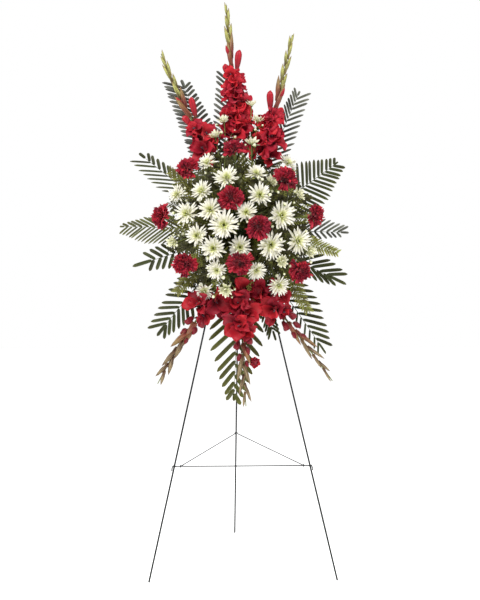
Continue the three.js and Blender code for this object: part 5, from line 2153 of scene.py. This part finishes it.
@dataclass
class Studio:
    """A pale floor, soft light and the camera of the picture.

    aim, distance, azimuth, lens and sensor are the camera's. reach and glow are the floor's, lit is the point
    that the lamps shine on, and ambient is the light from all round.
    """

    shop: Workshop
    aim: Place = (4, 0, 788)
    distance: float = 3315
    azimuth: float = -2.5
    lens: float = 64.4
    sensor: float = 36
    reach: float = 14
    glow: float = 0.55
    ambient: float = 0.6
    lit: Place = (0, 0, 0.95)
    lamps: tuple[Lamp, ...] = (
        Lamp("key", (-1.2, -2.4, 3.0), 96, 1.0),
        Lamp("fill", (2.2, -2.2, 1.4), 20, 1.6),
        Lamp("back", (0.6, 2.4, 2.6), 30, 1.4),
    )

    def floor(self) -> None:
        """Makes the floor as one wide sheet."""
        mesh = bpy.data.meshes.new("studio_floor")
        reach = self.reach
        corners = [(-reach, -reach, 0), (reach, -reach, 0), (reach, reach, 0), (-reach, reach, 0)]
        mesh.from_pydata(corners, [], [(0, 1, 2, 3)])
        tree = Nodes("studio paper")
        shade = tree.ramp(tree.noise(0.6, 2), ((0, (0.9, 0.9, 0.9)), (1, (0.94, 0.94, 0.94))))
        shader = tree.surface(shade, 0.9, 0.5, tree.noise(40, 2), 0.02)
        shader.inputs["Emission Color"].default_value = (1, 1, 1, 1)
        shader.inputs["Emission Strength"].default_value = self.glow
        mesh.materials.append(tree.material)
        made = add_object("studio_floor", mesh)

    def face(self, made: bpy.types.Object, target: Vector) -> None:
        """Turns a lamp or the camera to a place."""
        made.rotation_euler = (target - made.location).to_track_quat("-Z", "Y").to_euler()

    def light(self, lamp: Lamp) -> None:
        """Adds a lamp that shines on the spray.

        Args:
            lamp: Its place, size and power.
        """
        data = bpy.data.lights.new(lamp.name, "AREA")
        data.energy = lamp.power
        data.size = lamp.size
        made = add_object(lamp.name, data)
        made.location = lamp.place
        self.face(made, Vector(self.lit))

    def camera(self) -> None:
        """Makes the camera of the picture."""
        turn = math.radians(self.azimuth)
        x, y, z = self.aim
        place = np.array([x + math.sin(turn) * self.distance, y - math.cos(turn) * self.distance, z])
        data = bpy.data.cameras.new("camera")
        data.lens, data.sensor_width = self.lens, self.sensor
        made = add_object("camera", data)
        made.location = Vector(self.shop.place.upright(place))
        self.face(made, Vector(self.shop.place.upright(np.array([x, y, z], float))))
        bpy.context.scene.camera = made

    def build(self) -> None:
        """Makes the floor, the lamps, the surrounding light and the camera."""
        self.floor()
        for lamp in self.lamps:
            self.light(lamp)
        world = bpy.data.worlds.new("studio")
        world.use_nodes = True
        tree = world.node_tree
        back = tree.nodes["Background"]
        back.inputs["Color"].default_value = (1, 1, 1, 1)
        seen = tree.nodes.new("ShaderNodeLightPath").outputs["Is Camera Ray"]
        level = tree.nodes.new("ShaderNodeMapRange")
        level.inputs["To Min"].default_value = self.ambient
        level.inputs["To Max"].default_value = 1.0
        tree.links.new(seen, level.inputs["Value"])
        tree.links.new(level.outputs["Result"], back.inputs["Strength"])
        bpy.context.scene.world = world
        bpy.context.scene.view_settings.view_transform = "Standard"
        self.camera()


def main() -> None:
    """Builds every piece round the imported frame."""
    logging.basicConfig(level=logging.INFO, format="%(message)s")
    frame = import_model()
    sizes = EaselSizes()
    shop = Workshop(Placement.from_frame(frame["joints"], sizes))
    foam = Foam()
    Easel(shop, sizes).build()
    dress_nodes(frame, shop)
    PalmFronds(shop, foam).build()
    Ferns(shop, foam).build()
    LeafyStems(shop, foam).build()
    Filler(shop, foam).build()
    Gladioli(shop, foam).build()
    Carnations(shop, foam).build()
    MumSprays(shop, foam).build()
    Studio(shop).build()
    LOG.info("faces in all: %d", shop.faces)
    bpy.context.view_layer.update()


if __name__ == "__main__":
    main()
